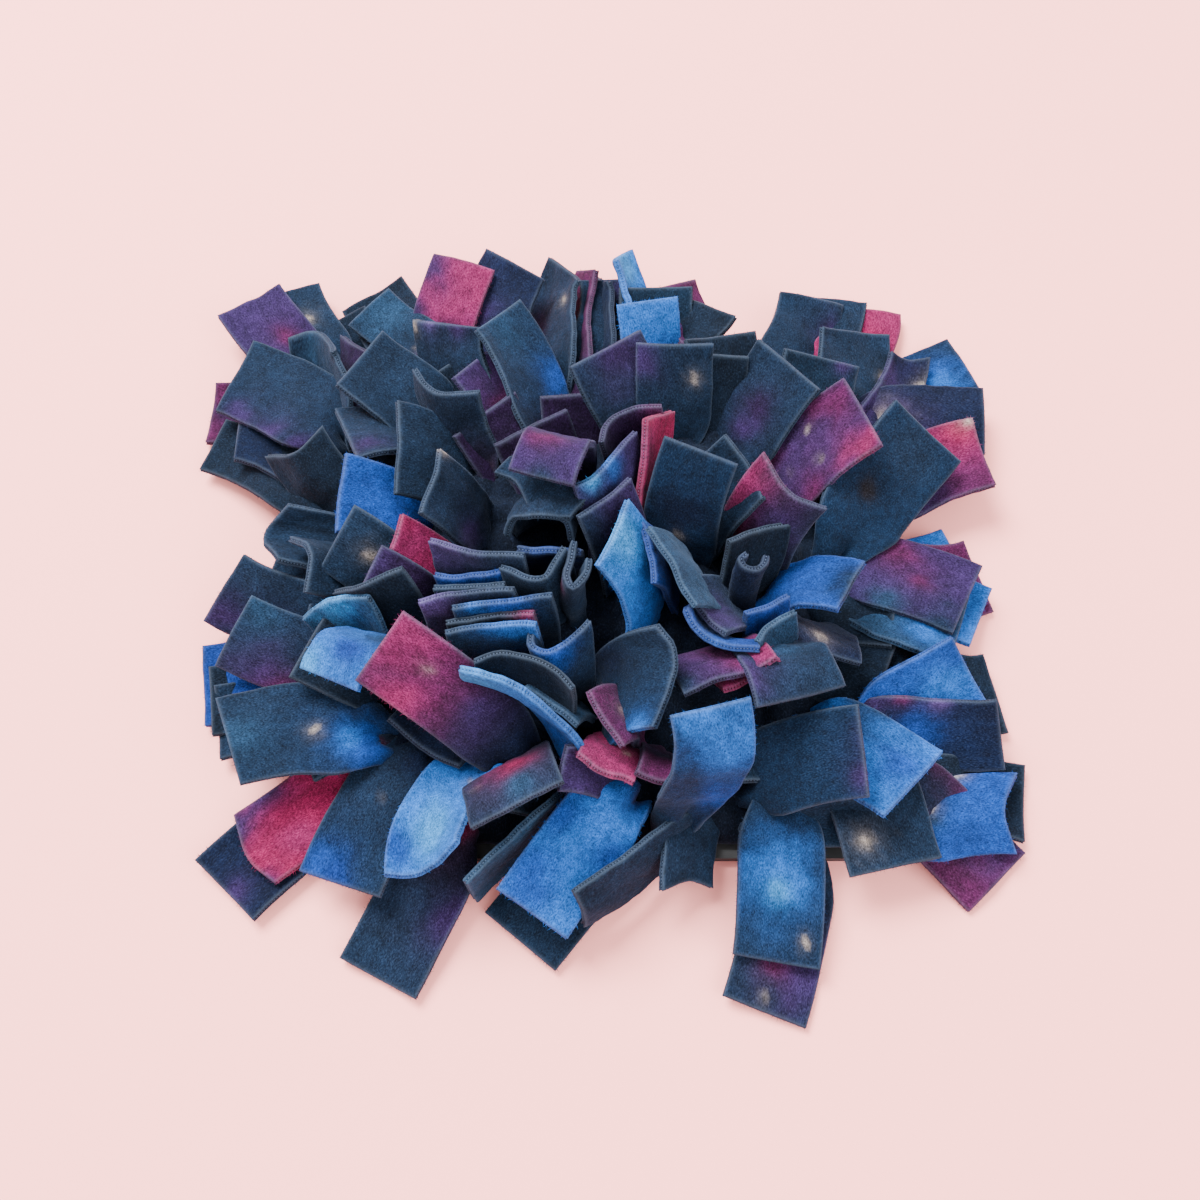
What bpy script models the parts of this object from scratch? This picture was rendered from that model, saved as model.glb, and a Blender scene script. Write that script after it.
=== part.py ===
import bpy
import bmesh
import numpy as np
from math import cos, sin, radians

# ---------------------------------------------------------------- sizes
MM = 0.001
MAT_W = 222.0          # rubber mat, left to right
MAT_D = 200.0          # rubber mat, front to back
MAT_T = 4.0            # rubber mat, thickness
MAT_CORNER = 14.0      # corner radius of the rubber mat
FIT = 0.3              # air between the rubber mat and the fleece
BED_T = 9.0            # least height of the bed of knots above the mat
BED_UNDER = 29.0       # the bed lies this far under the crown
BED_W = 214.0          # bed of knots, left to right
BED_D = 192.0          # bed of knots, front to back
KNOT_PITCH = 36.0      # one swell of the bed every 36 mm
KNOT_RISE = 2.4        # how far a swell stands above the bed
FLEECE = 3.0           # thickness of the fleece
KNOT_WIDTH = 12.0      # width of a strip where it is drawn into its knot
FLOOR_MID = 1.7        # middle of a strip that lies on the floor
CROWN_RIM = 156.0      # half width of the crown at the floor
CROWN_HIGH = 66.0      # rise of the crown over its rim
CROWN_LOW = 4.0        # height of the rim of the crown
CROWN_POWER = 3.0      # squareness of the crown in plan
SIGHT = (1.0, -216.8, 471.3)   # a corner that rises off the crown leans to this point
ROOT_X = 104.0         # the knots stay inside these half sizes
ROOT_Y = 94.0
STEPS = 4               # sections along a strip
STEPS_ACROSS = 3       # sections across a strip with a curved end

FLEECE_COLOUR = (0.045, 0.075, 0.145, 1.0)
RUBBER_COLOUR = (0.012, 0.013, 0.016, 1.0)

# ---------------------------------------------------------------- strips
# One row a strip. a and b are the two corners of its free end, in mm, on the
# crown; ra and rb are how far each stands over the crown; bear is the plan
# direction in which the strip points (0 is +X, 90 is +Y) and tilt its slope
# at the free end; run is the plan distance from knot to free end; via holds
# further points of a curved end, between a and b.
#    name    ax    ay   ra    bx    by   rb  bear tilt run via
STRIPS = [
    ("A1", -138, 152, 10, -163, 135, 10, 115, 2, 58, ()),
    ("A2", -121, 153, 6, -150, 141, 4, 118, -4, 55, ()),
    ("A3", -85, 156, 5, -110, 138, 2, 118, 0, 55, ()),
    ("A4", -91, 150, 15, -105, 125, 6, 140, 12, 50, ()),
    ("A6", -100, 140, 5, -120, 127, 2, 128, 2, 50, ()),
    ("A7", -113, 121, 6, -125, 124, 6, 112, 10, 55, ()),
    ("A9", -146, 122, 12, -158, 87, 12, 155, 8, 60, ()),
    ("A10", -148, 92, 4, -146, 60, 4, 170, 5, 50, ()),
    ("A11", -159, 100, 3, -160, 71, 2, 175, 0, 50, ()),
    ("A12", -151, 89, 0, -160, 59, 0, 160, -4, 60, ()),
    ("A13", -104, 61, 4, -130, 50, 4, 135, 25, 35, ((-119, 52, 0),)),
    ("A15", -88, 110, 8, -103, 80, 8, 145, 25, 45, ()),
    ("A16", -47, 104, 6, -75, 117, 6, 108, 35, 38, ()),
    ("A17", -44, 61, 3, -71, 79, 8, 122, 48, 30, ((-60, 64, 0),)),
    ("A18", -101, 66, -6, -89, 40, 0, 200, 15, 35, ()),
    ("A19", -94, 42, 4, -95, 8, 0, 178, 28, 36, ()),
    ("A21", -75, 63, 5, -72, 19, -8, 175, 35, 32, ()),
    ("A22", -58, 35, 5, -64, 9, 5, 170, 50, 26, ((-58, 22, 5),)),
    ("E2", -116, 27, 2, -118, 4, 2, 168, 15, 40, ((-126, 17, 2),)),
    ("E3", -113, 13, 5, -104, -12, 5, 190, 45, 32, ((-105, 3, 6),)),
    ("E4", -88, 18, 8, -100, -5, 0, 155, 20, 35, ()),
    ("E6", -134, 12, 8, -149, -10, 2, 160, 5, 50, ()),
    ("E7", -128, -7, 6, -141, -31, 4, 160, 10, 50, ()),
    ("E8", -92, -17, -4, -108, -44, -2, 165, 25, 32, ()),
    ("E9", -103, -42, 8, -81, -54, 8, 230, -30, 34, ()),
    ("E10", -79, -19, 2, -104, -22, 0, 110, 60, 20, ((-94, -18, 3),)),
    ("E11", -68, -12, 6, -94, -17, 2, 100, 70, 18, ((-80, -14, 6),)),
    ("E13", -69, 10, 2, -79, -20, -4, 165, 45, 26, ()),
    ("F1", -25, -12, 3, -59, -3, 3, 95, 72, 10, ()),
    ("F2", -11, -9, 3, -33, -15, 0, 95, 72, 10, ((-18, -21, 2), (-25, -19, 2))),
    ("F3", -3, -13, 3, -6, -7, 3, 80, 70, 10, ((-6, -23, 3), (-12, -23, 3))),
    ("F5", -36, 21, 0, -9, 1, 0, 240, -8, 20, ((-25, 10, 0), (-19, 2, 0))),
    ("F6", 12, 18, 2, -7, 2, 2, 122, 55, 16, ()),
    ("F9", -28, -24, 2, -61, -24, 2, 92, 72, 10, ()),
    ("F10", -15, -26, 2, -49, -29, 2, 92, 72, 10, ()),
    ("F12", -20, -34, 2, -51, -36, 2, 95, 72, 10, ((-36, -37, 2),)),
    ("F13", -3, -36, 2, -21, -38, 0, 85, 60, 14, ((-12, -44, 2), (-19, -46, 2), (-23, -42, 1))),
    ("F15", -6, -55, 2, -40, -46, 0, 80, 72, 10, ((-18, -49, 3), (-31, -45, 2))),
    ("F17", -46, -51, 12, -44, -52, -16, 172, 10, 50, ()),
    ("B1", -45, 160, 20, -72, 169, 20, 75, 5, 50, ()),
    ("B2", -23, 153, 18, -49, 172, 18, 78, 20, 50, ()),
    ("B3", -7, 151, 20, -20, 166, 10, 88, 14, 62, ()),
    ("B4", -1, 161, 24, -7, 158, 6, 90, 16, 58, ()),
    ("B6", 13, 171, 20, 6, 165, 32, 103, 25, 48, ()),
    ("B9", 56, 114, 0, 31, 137, 2, 52, 12, 40, ()),
    ("B11", 40, 143, 14, 9, 142, 14, 90, 34, 38, ()),
    ("B12", 33, 132, 14, 8, 122, 8, 95, 36, 36, ()),
    ("B13", -33, 126, 10, -49, 100, 6, 113, 18, 60, ()),
    ("B14", -38, 92, -12, -55, 70, -12, 120, 30, 40, ()),
    ("B15", -31, 22, 12, -8, 14, 11, 252, -15, 32, ()),
    ("B17", 13, 39, 4, -9, 15, 6, 130, 62, 16, ((5, 26, 5), (0, 19, 5))),
    ("B18", 23, 52, 3, 1, 34, 0, 112, 68, 14, ((14, 50, 3), (5, 45, 2))),
    ("B19", 17, 100, 6, -10, 74, 4, 130, 40, 32, ()),
    ("C1", 45, 91, 6, 15, 89, 6, 90, 48, 30, ()),
    ("C3", 85, 72, 6, 64, 98, 6, 50, 38, 36, ()),
    ("C4", 105, 141, 4, 79, 148, 12, 66, 10, 52, ()),
    ("C5", 116, 141, 2, 86, 146, 0, 74, 0, 52, ()),
    ("C6", 130, 137, 1, 100, 138, 0, 58, -4, 56, ()),
    ("C7", 123, 125, 6, 91, 116, 2, 76, 26, 44, ()),
    ("C8", 104, 93, 2, 73, 94, 0, 80, 38, 34, ()),
    ("C9", 109, 51, 6, 97, 82, 8, 32, 30, 42, ()),
    ("C10", 83, 17, 4, 60, 35, 6, 52, 52, 24, ((69, 18, 4),)),
    ("C11", 50, 27, 8, 24, 37, 8, 76, 40, 30, ()),
    ("C12", 61, 14, 0, 47, 40, 2, 32, 48, 26, ()),
    ("C13", 27, 49, -6, 17, 45, 12, 82, 28, 42, ()),
    ("G1", 11, 9, 4, -1, -16, 4, 130, 45, 36, ()),
    ("G2", 17, -2, 5, 33, -30, 4, 202, 52, 24, ()),
    ("G4", 28, -21, -5, 42, -40, -2, 205, 45, 26, ()),
    ("G5", 29, -32, 1, 54, -44, 1, 215, 58, 20, ((37, -41, 0),)),
    ("G6", 29, -60, 0, 61, -47, 2, 283, 20, 26, ((39, -55, 1), (51, -52, 1))),
    ("G7", 62, -47, 0, 42, -58, -4, 320, 35, 26, ()),
    ("G10", 83, -25, 2, 96, -3, 3, -8, 16, 36, ()),
    ("D2", 140, 96, 0, 120, 114, 0, 45, 14, 46, ()),
    ("D3", 160, 97, 11, 149, 124, 11, 27, 10, 58, ()),
    ("D4", 160, 67, 8, 163, 99, 8, 5, 6, 58, ()),
    ("D5", 160, 51, 3, 154, 83, 3, 24, -2, 58, ()),
    ("D6", 145, 59, 10, 118, 79, 10, 53, 10, 66, ()),
    ("H1", 130, -22, -6, 149, 13, 8, -14, 8, 52, ()),
    ("H2", 137, -25, -8, 151, 3, -2, -20, 0, 52, ()),
    ("H5", 127, -35, -6, 139, -5, -8, -16, 8, 46, ()),
    ("H6", 146, -50, 0, 129, -23, 4, 32, 16, 50, ()),
    ("H7", 148, -68, 4, 147, -42, 14, -3, 6, 60, ()),
    ("K0", 53, -63, 5, 84, -52, 5, 290, -15, 34, ()),
    ("K1", 92, -87, 8, 89, -57, 8, 5, 26, 40, ()),
    ("K2", 51, -59, 16, 24, -66, 14, 103, 30, 36, ()),
    ("K3", 92, -103, -3, 95, -74, 0, 5, 15, 42, ()),
    ("K4", 75, -140, -4, 45, -136, -10, 268, -6, 58, ()),
    ("K5", 70, -158, -3, 42, -148, -5, 253, -3, 58, ()),
    ("K6", 38, -117, -20, 21, -118, -6, 255, -4, 40, ((30, -115, -19),)),
    ("K7", -2, -131, -16, -19, -103, -15, 220, 0, 52, ()),
    ("K8", -10, -132, -3, -33, -117, -5, 231, 5, 58, ()),
    ("K9", -14, -141, -13, -37, -124, -24, 227, -3, 56, ()),
    ("K10", -40, -121, -25, -44, -115, -3, 226, 8, 50, ()),
    ("K11", -41, -100, 4, -11, -86, 4, 282, 16, 28, ()),
    ("K13", -4, -59, 0, 8, -76, 0, 215, 45, 22, ()),
    ("K14", -6, -77, -2, 13, -85, -3, 240, 48, 20, ((2, -84, -2),)),
    ("K17", 20, -70, 4, 21, -37, 4, -2, 50, 24, ((24, -57, 4), (26, -45, 4))),
    ("L1", 97, -93, 5, 121, -68, 5, -35, 14, 50, ()),
    ("L2", 85, -112, -6, 119, -103, 2, -74, -2, 46, ()),
    ("L3", 149, -98, 5, 153, -69, 6, 14, 10, 52, ((146, -83, 10),)),
    ("L4", 130, -119, -1, 152, -98, -1, -42, -3, 58, ()),
    ("L5", 151, -95, -1, 156, -66, -1, 2, 2, 55, ()),
    ("I1", -139, -44, 6, -125, -78, 1, 184, 10, 58, ()),
    ("I2", -148, -21, -5, -142, -54, -10, 175, -2, 55, ()),
    ("I4", -143, -32, -9, -138, -59, -10, 178, 0, 52, ()),
    ("I5", -127, -88, -8, -110, -112, -8, 214, 2, 62, ((-121, -103, -8),)),
    ("I6", -142, -101, -1, -118, -123, -4, 222, -3, 58, ()),
    ("I7", -101, -109, -7, -72, -119, -9, 243, -2, 62, ()),
    ("I8", -70, -113, -6, -45, -104, -4, 247, 8, 48, ((-58, -112, -7),)),
    ("I9", -87, -136, -8, -61, -149, -4, 243, -3, 60, ()),
    ("J1", -66, -28, 12, -82, -50, 10, 148, 15, 62, ()),
]

# Strips whose plan direction turns from knot to free end, in degrees.
TURNS = {"F17": 25, "G1": 29, "K2": 28}

# How steeply a strip rises from its knot, against the usual 1: a low strip
# runs under its neighbours and a high one over them.
ARCH = {
    "A1": 0.35, "A2": 0.3, "A4": 1.6, "A7": 1.3, "A9": 1.3, "B1": 0.1, "B4": 1.4, "B13": 1.4,
    "B15": 1.5, "C4": 0.8, "C5": 0.3, "C6": 0.15, "C7": 1.3, "D3": 0.3, "D4": 0.9, "D5": 0.6,
    "D6": 1.35, "E9": 1.6, "F5": 1.3, "G10": 1.4, "I5": 0.8, "I6": 0.6, "I7": 1.4, "I8": 1.2,
    "I9": 0.5, "J1": 1.2, "K0": 1.3, "K5": 0.15, "K7": 0.7, "K8": 1.5, "L2": 1.3, "L3": 0.3,
}

# Plain strips of the lower layer, which fill the gaps between the others.
# x and y are the middle of the free end; bear and tilt are as above.
LOWER_RISE = -18.0     # under the crown
LOWER_WIDE = 30.0
LOWER_RUN = 34.0
LOWER_STEPS = 3
#    x     y   bear tilt
LOWER = [
    (-102, -68, 206, 8), (-58, -74, 236, 26), (44, -86, 276, 22), (60, -104, 285, 10),
    (100, -46, -22, 16), (106, -20, -10, 14), (104, 6, 4, 16), (102, 32, 16, 18),
    (-64, 14, 170, 40), (-20, -96, 262, 12), (-8, 62, 100, 44), (-24, 42, 122, 52),
    (-42, 50, 134, 42), (-30, 72, 112, 34), (-64, 74, 130, 30), (30, 30, 60, 40),
]


# ---------------------------------------------------------------- helpers
def unit(v):
    return v / np.linalg.norm(v)


def crown(x, y):
    far_x = (abs(x) / CROWN_RIM) ** CROWN_POWER
    far_y = (abs(y) / CROWN_RIM) ** CROWN_POWER
    rho = (far_x + far_y) ** (1.0 / CROWN_POWER)
    return CROWN_LOW + CROWN_HIGH * max(0.0, 1.0 - rho * rho)


def corner(x, y, rise):
    """A point of a free end: it leaves the crown towards SIGHT."""
    z0 = crown(x, y)
    z = max(z0 + rise, FLOOR_MID)
    t = (z - z0) / (SIGHT[2] - z0)
    return np.array([x + (SIGHT[0] - x) * t, y + (SIGHT[1] - y) * t, z])


def smooth_line(pts, count):
    """Evenly spaced points on a smooth curve through pts."""
    pts = np.array(pts)
    ext = np.vstack([2 * pts[0] - pts[1], pts, 2 * pts[-1] - pts[-2]])
    out = [pts[0]]
    for k in range(len(pts) - 1):
        p0, p1, p2, p3 = ext[k:k + 4]
        for t in np.linspace(0, 1, 9)[1:]:
            a = 2 * p1 + (p2 - p0) * t
            b = (2 * p0 - 5 * p1 + 4 * p2 - p3) * t * t
            c = (3 * p1 - p0 - 3 * p2 + p3) * t ** 3
            out.append(0.5 * (a + b + c))
    out = np.array(out)
    run = np.concatenate([[0], np.cumsum(np.linalg.norm(np.diff(out, axis=0), axis=1))])
    want = np.linspace(0, run[-1], count)
    return np.stack([np.interp(want, run, out[:, i]) for i in range(3)], -1)


def strip_grid(row, steps):
    """Middle surface of one strip: sections from the knot to the free end."""
    name, ax, ay, ra, bx, by, rb, bear, tilt, run, via = row
    a = corner(ax, ay, ra)
    b = corner(bx, by, rb)
    across = STEPS_ACROSS if via else 1
    end = smooth_line([a] + [corner(*v) for v in via] + [b], across + 1)
    mid = (a + b) / 2
    wide = np.linalg.norm(b - a)
    side = (b - a) / wide
    be = radians(bear)
    ti = radians(tilt)
    point = np.array([cos(be) * cos(ti), sin(be) * cos(ti), sin(ti)])
    point = unit(point - point.dot(side) * side)
    turn = radians(bear - TURNS.get(name, 0))
    flat = np.array([cos(turn), sin(turn), 0.0])
    root = mid - run * flat
    root[0] = np.clip(root[0], -ROOT_X, ROOT_X)
    root[1] = np.clip(root[1], -ROOT_Y, ROOT_Y)
    root[2] = MAT_T + FIT + 3.5
    chord = np.linalg.norm(mid - root)
    lift = 0.95 * ARCH.get(name, 1.0)
    p1 = root + (0.30 * flat + np.array([0, 0, lift])) * 0.35 * chord
    p2 = mid - point * 0.45 * chord
    s = np.linspace(0, 1, steps + 1)[:, None]
    cen = (1 - s) ** 3 * root + 3 * (1 - s) ** 2 * s * p1 + 3 * (1 - s) * s * s * p2 + s ** 3 * mid
    tan = 3 * (1 - s) ** 2 * (p1 - root) + 6 * (1 - s) * s * (p2 - p1) + 3 * s * s * (mid - p2)
    tan /= np.linalg.norm(tan, axis=1)[:, None]
    acr = np.zeros((steps + 1, 3))
    acr[steps] = side
    for i in range(steps - 1, -1, -1):
        acr[i] = unit(acr[i + 1] - acr[i + 1].dot(tan[i]) * tan[i])
    straight = mid + np.linspace(-0.5, 0.5, across + 1)[:, None] * (b - a)
    off = end - straight
    last_n = np.cross(tan[steps], side)
    off_s = off @ side
    off_t = off @ tan[steps]
    off_n = off @ last_n
    grid = np.zeros((steps + 1, across + 1, 3))
    nrm = np.zeros((steps + 1, across + 1, 3))
    for i in range(steps + 1):
        f = s[i, 0]
        g = min(1.0, f / 0.5)
        g = g * g * (3 - 2 * g)
        w = KNOT_WIDTH + (wide - KNOT_WIDTH) * g
        n = np.cross(tan[i], acr[i])
        for j in range(across + 1):
            u = j / across - 0.5
            bow = off_s[j] * acr[i] * w / wide + off_t[j] * tan[i] * f * f + off_n[j] * n
            grid[i, j] = cen[i] + u * w * acr[i] + f * bow
    for i in range(steps + 1):
        for j in range(across + 1):
            du = grid[i, min(j + 1, across)] - grid[i, max(j - 1, 0)]
            dv = grid[min(i + 1, steps), j] - grid[max(i - 1, 0), j]
            nrm[i, j] = unit(np.cross(dv, du))
    return grid, nrm


def lower_row(x, y, bear, tilt):
    """The row of a plain strip, from the middle and bearing of its free end."""
    sx = sin(radians(bear)) * LOWER_WIDE / 2
    sy = -cos(radians(bear)) * LOWER_WIDE / 2
    ends = (x + sx, y + sy, LOWER_RISE, x - sx, y - sy, LOWER_RISE)
    return ("lower", *ends, bear, tilt, LOWER_RUN, ())


def add_strip(bm, row):
    """One four-sided strip of fleece, closed at both ends."""
    grid, nrm = strip_grid(row, LOWER_STEPS if row[0] == "lower" else STEPS)
    ns, nu = grid.shape[:2]
    rings = []
    for i in range(ns):
        top = [grid[i, j] + nrm[i, j] * FLEECE / 2 for j in range(nu)]
        low = [grid[i, j] - nrm[i, j] * FLEECE / 2 for j in range(nu - 1, -1, -1)]
        for p in top + low:
            p[2] = max(p[2], 0.2)
        rings.append([bm.verts.new(tuple(p * MM)) for p in top + low])
    m = 2 * nu
    for i in range(ns - 1):
        for j in range(m):
            k = (j + 1) % m
            bm.faces.new((rings[i][j], rings[i][k], rings[i + 1][k], rings[i + 1][j]))
    for ring, flip in ((rings[0], False), (rings[-1], True)):
        for j in range(nu - 1):
            quad = (ring[j], ring[m - 1 - j], ring[m - 2 - j], ring[j + 1])
            bm.faces.new(quad if not flip else quad[::-1])


def new_object(name, bm, colour, rough):
    bmesh.ops.recalc_face_normals(bm, faces=bm.faces[:])
    me = bpy.data.meshes.new(name)
    bm.to_mesh(me)
    bm.free()
    ob = bpy.data.objects.new(name, me)
    bpy.context.scene.collection.objects.link(ob)
    if colour:
        mat = bpy.data.materials.new(name)
        mat.use_nodes = True
        pb = mat.node_tree.nodes["Principled BSDF"]
        pb.inputs["Base Color"].default_value = colour
        pb.inputs["Roughness"].default_value = rough
        me.materials.append(mat)
    return ob


def rounded_sheet(bm, w, d, r, z0, z1, turns=5):
    ring = []
    for cx, cy, a0 in ((w / 2 - r, d / 2 - r, 0), (r - w / 2, d / 2 - r, 90),
                       (r - w / 2, r - d / 2, 180), (w / 2 - r, r - d / 2, 270)):
        for k in range(turns + 1):
            a = radians(a0 + 90 * k / turns)
            ring.append((cx + r * cos(a), cy + r * sin(a)))
    low = [bm.verts.new((x * MM, y * MM, z0 * MM)) for x, y in ring]
    top = [bm.verts.new((x * MM, y * MM, z1 * MM)) for x, y in ring]
    n = len(ring)
    for i in range(n):
        bm.faces.new((low[i], low[(i + 1) % n], top[(i + 1) % n], top[i]))
    bm.faces.new(low[::-1])
    bm.faces.new(top)


def bed_of_knots(bm):
    """Lumpy slab of the tied knots, which holds every strip by its root."""
    nx = int(BED_W / KNOT_PITCH) * 2
    ny = int(BED_D / KNOT_PITCH) * 2
    z0 = MAT_T + FIT
    top = []
    low = []
    for i in range(nx + 1):
        trow = []
        lrow = []
        for j in range(ny + 1):
            x = (i / nx - 0.5) * BED_W
            y = (j / ny - 0.5) * BED_D
            swell = KNOT_RISE if (i % 2 and j % 2) else 0.0
            rim = i in (0, nx) or j in (0, ny)
            z = max(z0 + BED_T, crown(x, y) - BED_UNDER) + swell - (4.0 if rim else 0.0)
            trow.append(bm.verts.new((x * MM, y * MM, z * MM)))
            lrow.append(bm.verts.new((x * MM, y * MM, z0 * MM)) if rim else None)
        top.append(trow)
        low.append(lrow)
    for i in range(nx):
        for j in range(ny):
            bm.faces.new((top[i][j], top[i + 1][j], top[i + 1][j + 1], top[i][j + 1]))
    loop = [(i, 0) for i in range(nx)] + [(nx, j) for j in range(ny)]
    loop += [(i, ny) for i in range(nx, 0, -1)] + [(0, j) for j in range(ny, 0, -1)]
    for k in range(len(loop)):
        i, j = loop[k]
        p, q = loop[(k + 1) % len(loop)]
        bm.faces.new((low[i][j], low[p][q], top[p][q], top[i][j]))
    bm.faces.new([low[i][j] for i, j in loop][::-1])


def keep_largest_body(ob):
    """Closed pockets between crossing strips are filled."""
    bm = bmesh.new()
    bm.from_mesh(ob.data)
    seen = set()
    bodies = []
    for start in bm.verts:
        if start in seen:
            continue
        seen.add(start)
        body = [start]
        for v in body:
            for e in v.link_edges:
                w = e.other_vert(v)
                if w not in seen:
                    seen.add(w)
                    body.append(w)
        bodies.append(body)
    bodies.sort(key=len)
    for body in bodies[:-1]:
        bmesh.ops.delete(bm, geom=body, context="VERTS")
    bm.to_mesh(ob.data)
    bm.free()


# ---------------------------------------------------------------- build
for ob in list(bpy.data.objects):
    bpy.data.objects.remove(ob)

bm = bmesh.new()
rounded_sheet(bm, MAT_W, MAT_D, MAT_CORNER, 0.0, MAT_T)
base = new_object("base_mat", bm, RUBBER_COLOUR, 0.7)

bm = bmesh.new()
bed_of_knots(bm)
fleece = new_object("fleece_strips", bm, FLEECE_COLOUR, 0.95)

# The strips are fused to the bed one after another, because so many thin
# strips that cross each other defeat a single union.

for row in STRIPS + [lower_row(*place) for place in LOWER]:
    bm = bmesh.new()
    add_strip(bm, row)
    strip = new_object("strip", bm, None, 0)
    join = fleece.modifiers.new("join", "BOOLEAN")
    join.operation = "UNION"
    join.solver = "MANIFOLD"
    join.object = strip
    view = bpy.context.evaluated_depsgraph_get()
    joined = bpy.data.meshes.new_from_object(fleece.evaluated_get(view))
    fleece.modifiers.clear()
    old = fleece.data
    fleece.data = joined
    bpy.data.meshes.remove(old)
    spent = strip.data
    bpy.data.objects.remove(strip)
    bpy.data.meshes.remove(spent)
fleece.data.name = "fleece_strips"
keep_largest_body(fleece)
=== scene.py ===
"""Snuffle mat: strips of galaxy-dyed fleece tied close together on a sheet of rubber."""
import bpy
import numpy as np
from collections import namedtuple
from itertools import product
from math import sin, cos, pi, radians
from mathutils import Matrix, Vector


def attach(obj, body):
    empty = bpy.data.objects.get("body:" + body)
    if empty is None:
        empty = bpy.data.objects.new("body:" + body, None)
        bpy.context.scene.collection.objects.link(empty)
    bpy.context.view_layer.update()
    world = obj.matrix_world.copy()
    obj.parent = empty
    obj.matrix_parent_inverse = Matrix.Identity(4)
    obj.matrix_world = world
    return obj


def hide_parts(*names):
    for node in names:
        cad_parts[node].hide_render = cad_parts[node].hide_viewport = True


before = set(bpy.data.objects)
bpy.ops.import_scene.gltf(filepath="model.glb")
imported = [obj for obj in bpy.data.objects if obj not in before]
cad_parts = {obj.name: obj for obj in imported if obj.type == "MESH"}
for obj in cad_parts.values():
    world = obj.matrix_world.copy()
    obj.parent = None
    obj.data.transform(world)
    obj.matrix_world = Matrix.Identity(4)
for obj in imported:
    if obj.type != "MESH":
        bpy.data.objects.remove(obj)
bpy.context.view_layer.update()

# ---------------------------------------------------------------- sizes, mm
MM = 0.001
MAT_T = 4.0           # rubber sheet
FLEECE = 2.6          # thickness of the fleece
KNOT_WIDTH = 12.0     # width of a strip where it is drawn into its knot
FLOOR_MID = 1.7       # a strip's middle is lifted to this height over the floor
CROWN_RIM = 156.0     # the crown is the mound that the strips' ends make
CROWN_HIGH = 66.0
CROWN_LOW = 4.0
CROWN_POWER = 3.0
EYE = (1.0, -216.8, 471.3)  # the camera, and where a rising corner leans to
AIM = (1.0, 3.0, 0.0)
LENS = 40.0
SENSOR = 36.0
ROOT_X = 104.0        # the knots stay inside these half sizes
ROOT_Y = 94.0
ROOT_Z = 8.0
MIDDLE_HALF = 62.0    # free ends inside this half size are strips_middle

# A strip's centre line, in shares of the straight line from knot to free end.
ROOT_RISE = 0.95      # how steeply it leaves its knot
ROOT_LEAN = 0.30      # how far it leans out meanwhile
ROOT_PULL = 0.35      # how long it keeps those directions
END_PULL = 0.45
GATHER_END = 0.5      # it has its full width from here on
PLEAT_START = 0.12    # its pleats grow over this first share of its length
PLEAT_HIGH = 4.2
PLEATS = 1.5
CUP = (-2.4, 3.2)     # least and greatest hollow across the free end
SAG = 2.5             # greatest bow half way along

# Settling: the strips are pushed apart where they lie in each other.
COARSE_LONG = 14      # sections of a strip while it settles
COARSE_WIDE = 6
SETTLE_ROUNDS = 60
PAIR_ROUNDS = 4       # near points are looked for again after this many rounds
PAIR_REACH = 6.0
CELLS = 1024          # room for this many cells each way
SPACING = 3.1         # the push aims at this distance between two strips' middles
PUSH_FADE = 4.5       # it is full up to 0.4 of this distance along the cloth, and
PUSH_END = 1.4        # fades to nothing at 1.4 of it
PUSH_SHARE = 0.8      # share of the push that one round makes
SIZE_ROUNDS = 3
SIZE_SHARE = 0.25     # share of a stretch that each end of it takes back
HOLD_LEAST = 0.02     # pull back to the start: least, and how much more at the end
HOLD_END = 0.10

# Cut edges. The fleece has two lips there with a groove between them.
RIM = [0.0, 0.25, 0.7, 1.4]  # the rounding has points this far in from the cut
LIP_LEAST = 0.62      # share of the thickness that is left at the cut
LIP_BULGE = 0.16      # how much each lip swells, how far in, and how broadly
LIP_PLACE = 1.1
LIP_BROAD = 0.7
HIGHLIGHT_REACH = 0.6        # the painted highlight on the lips reaches about this far in
GROOVE = 0.55
LOW_LEAST = 0.25      # least heights of the cloth's two sides over the floor
TOP_LEAST = 0.5
STITCH_PITCH = 1.15
FUZZ_STEP = 0.9       # one loose fibre for this much cut edge
FUZZ_LONG = (0.5, 1.9)
FUZZ_WIDE = (0.05, 0.09)
FUZZ_SUNK = 0.2
FUZZ_LEAST = 0.3      # least height of a fibre's tip over the floor

# Unevenness is a sum of waves, each given by its pitch and its height.
RUMPLE = ((20, 0.60), (8, 0.20))
THICKNESS = ((4, 0.07),)
RAGGED = ((14, 2.6), (6, 1.2), (3, 0.5))
MOTTLE = ((17, 0.16), (5, 0.08))
STAR_RAYS = ((2.5, 0.25),)
STAR_GLOW = ((0.80, 0.8), (0.12, 2.4))  # strength and radius of its core and its halo
CLOUD_SHARE = 0.95    # strength of a cloud at its middle
CLOUD_EDGE = 3.4      # how suddenly it ends
CLOUD_CALM = 9        # a cloud of a smaller radius has a less ragged border

# Places along and across a sheet, between its rounded edges, and random seeds.
STRIP_FINE = (26, 14)
BED_FINE = (110, 120)
SHAPE_SEED = 100
CLOTH_SEED = 900
FUZZ_SEED = 5000
BED_SEED = 77
CLOTH_SPAN = 900      # a strip's nap is read from a random place in this span, mm

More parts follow.
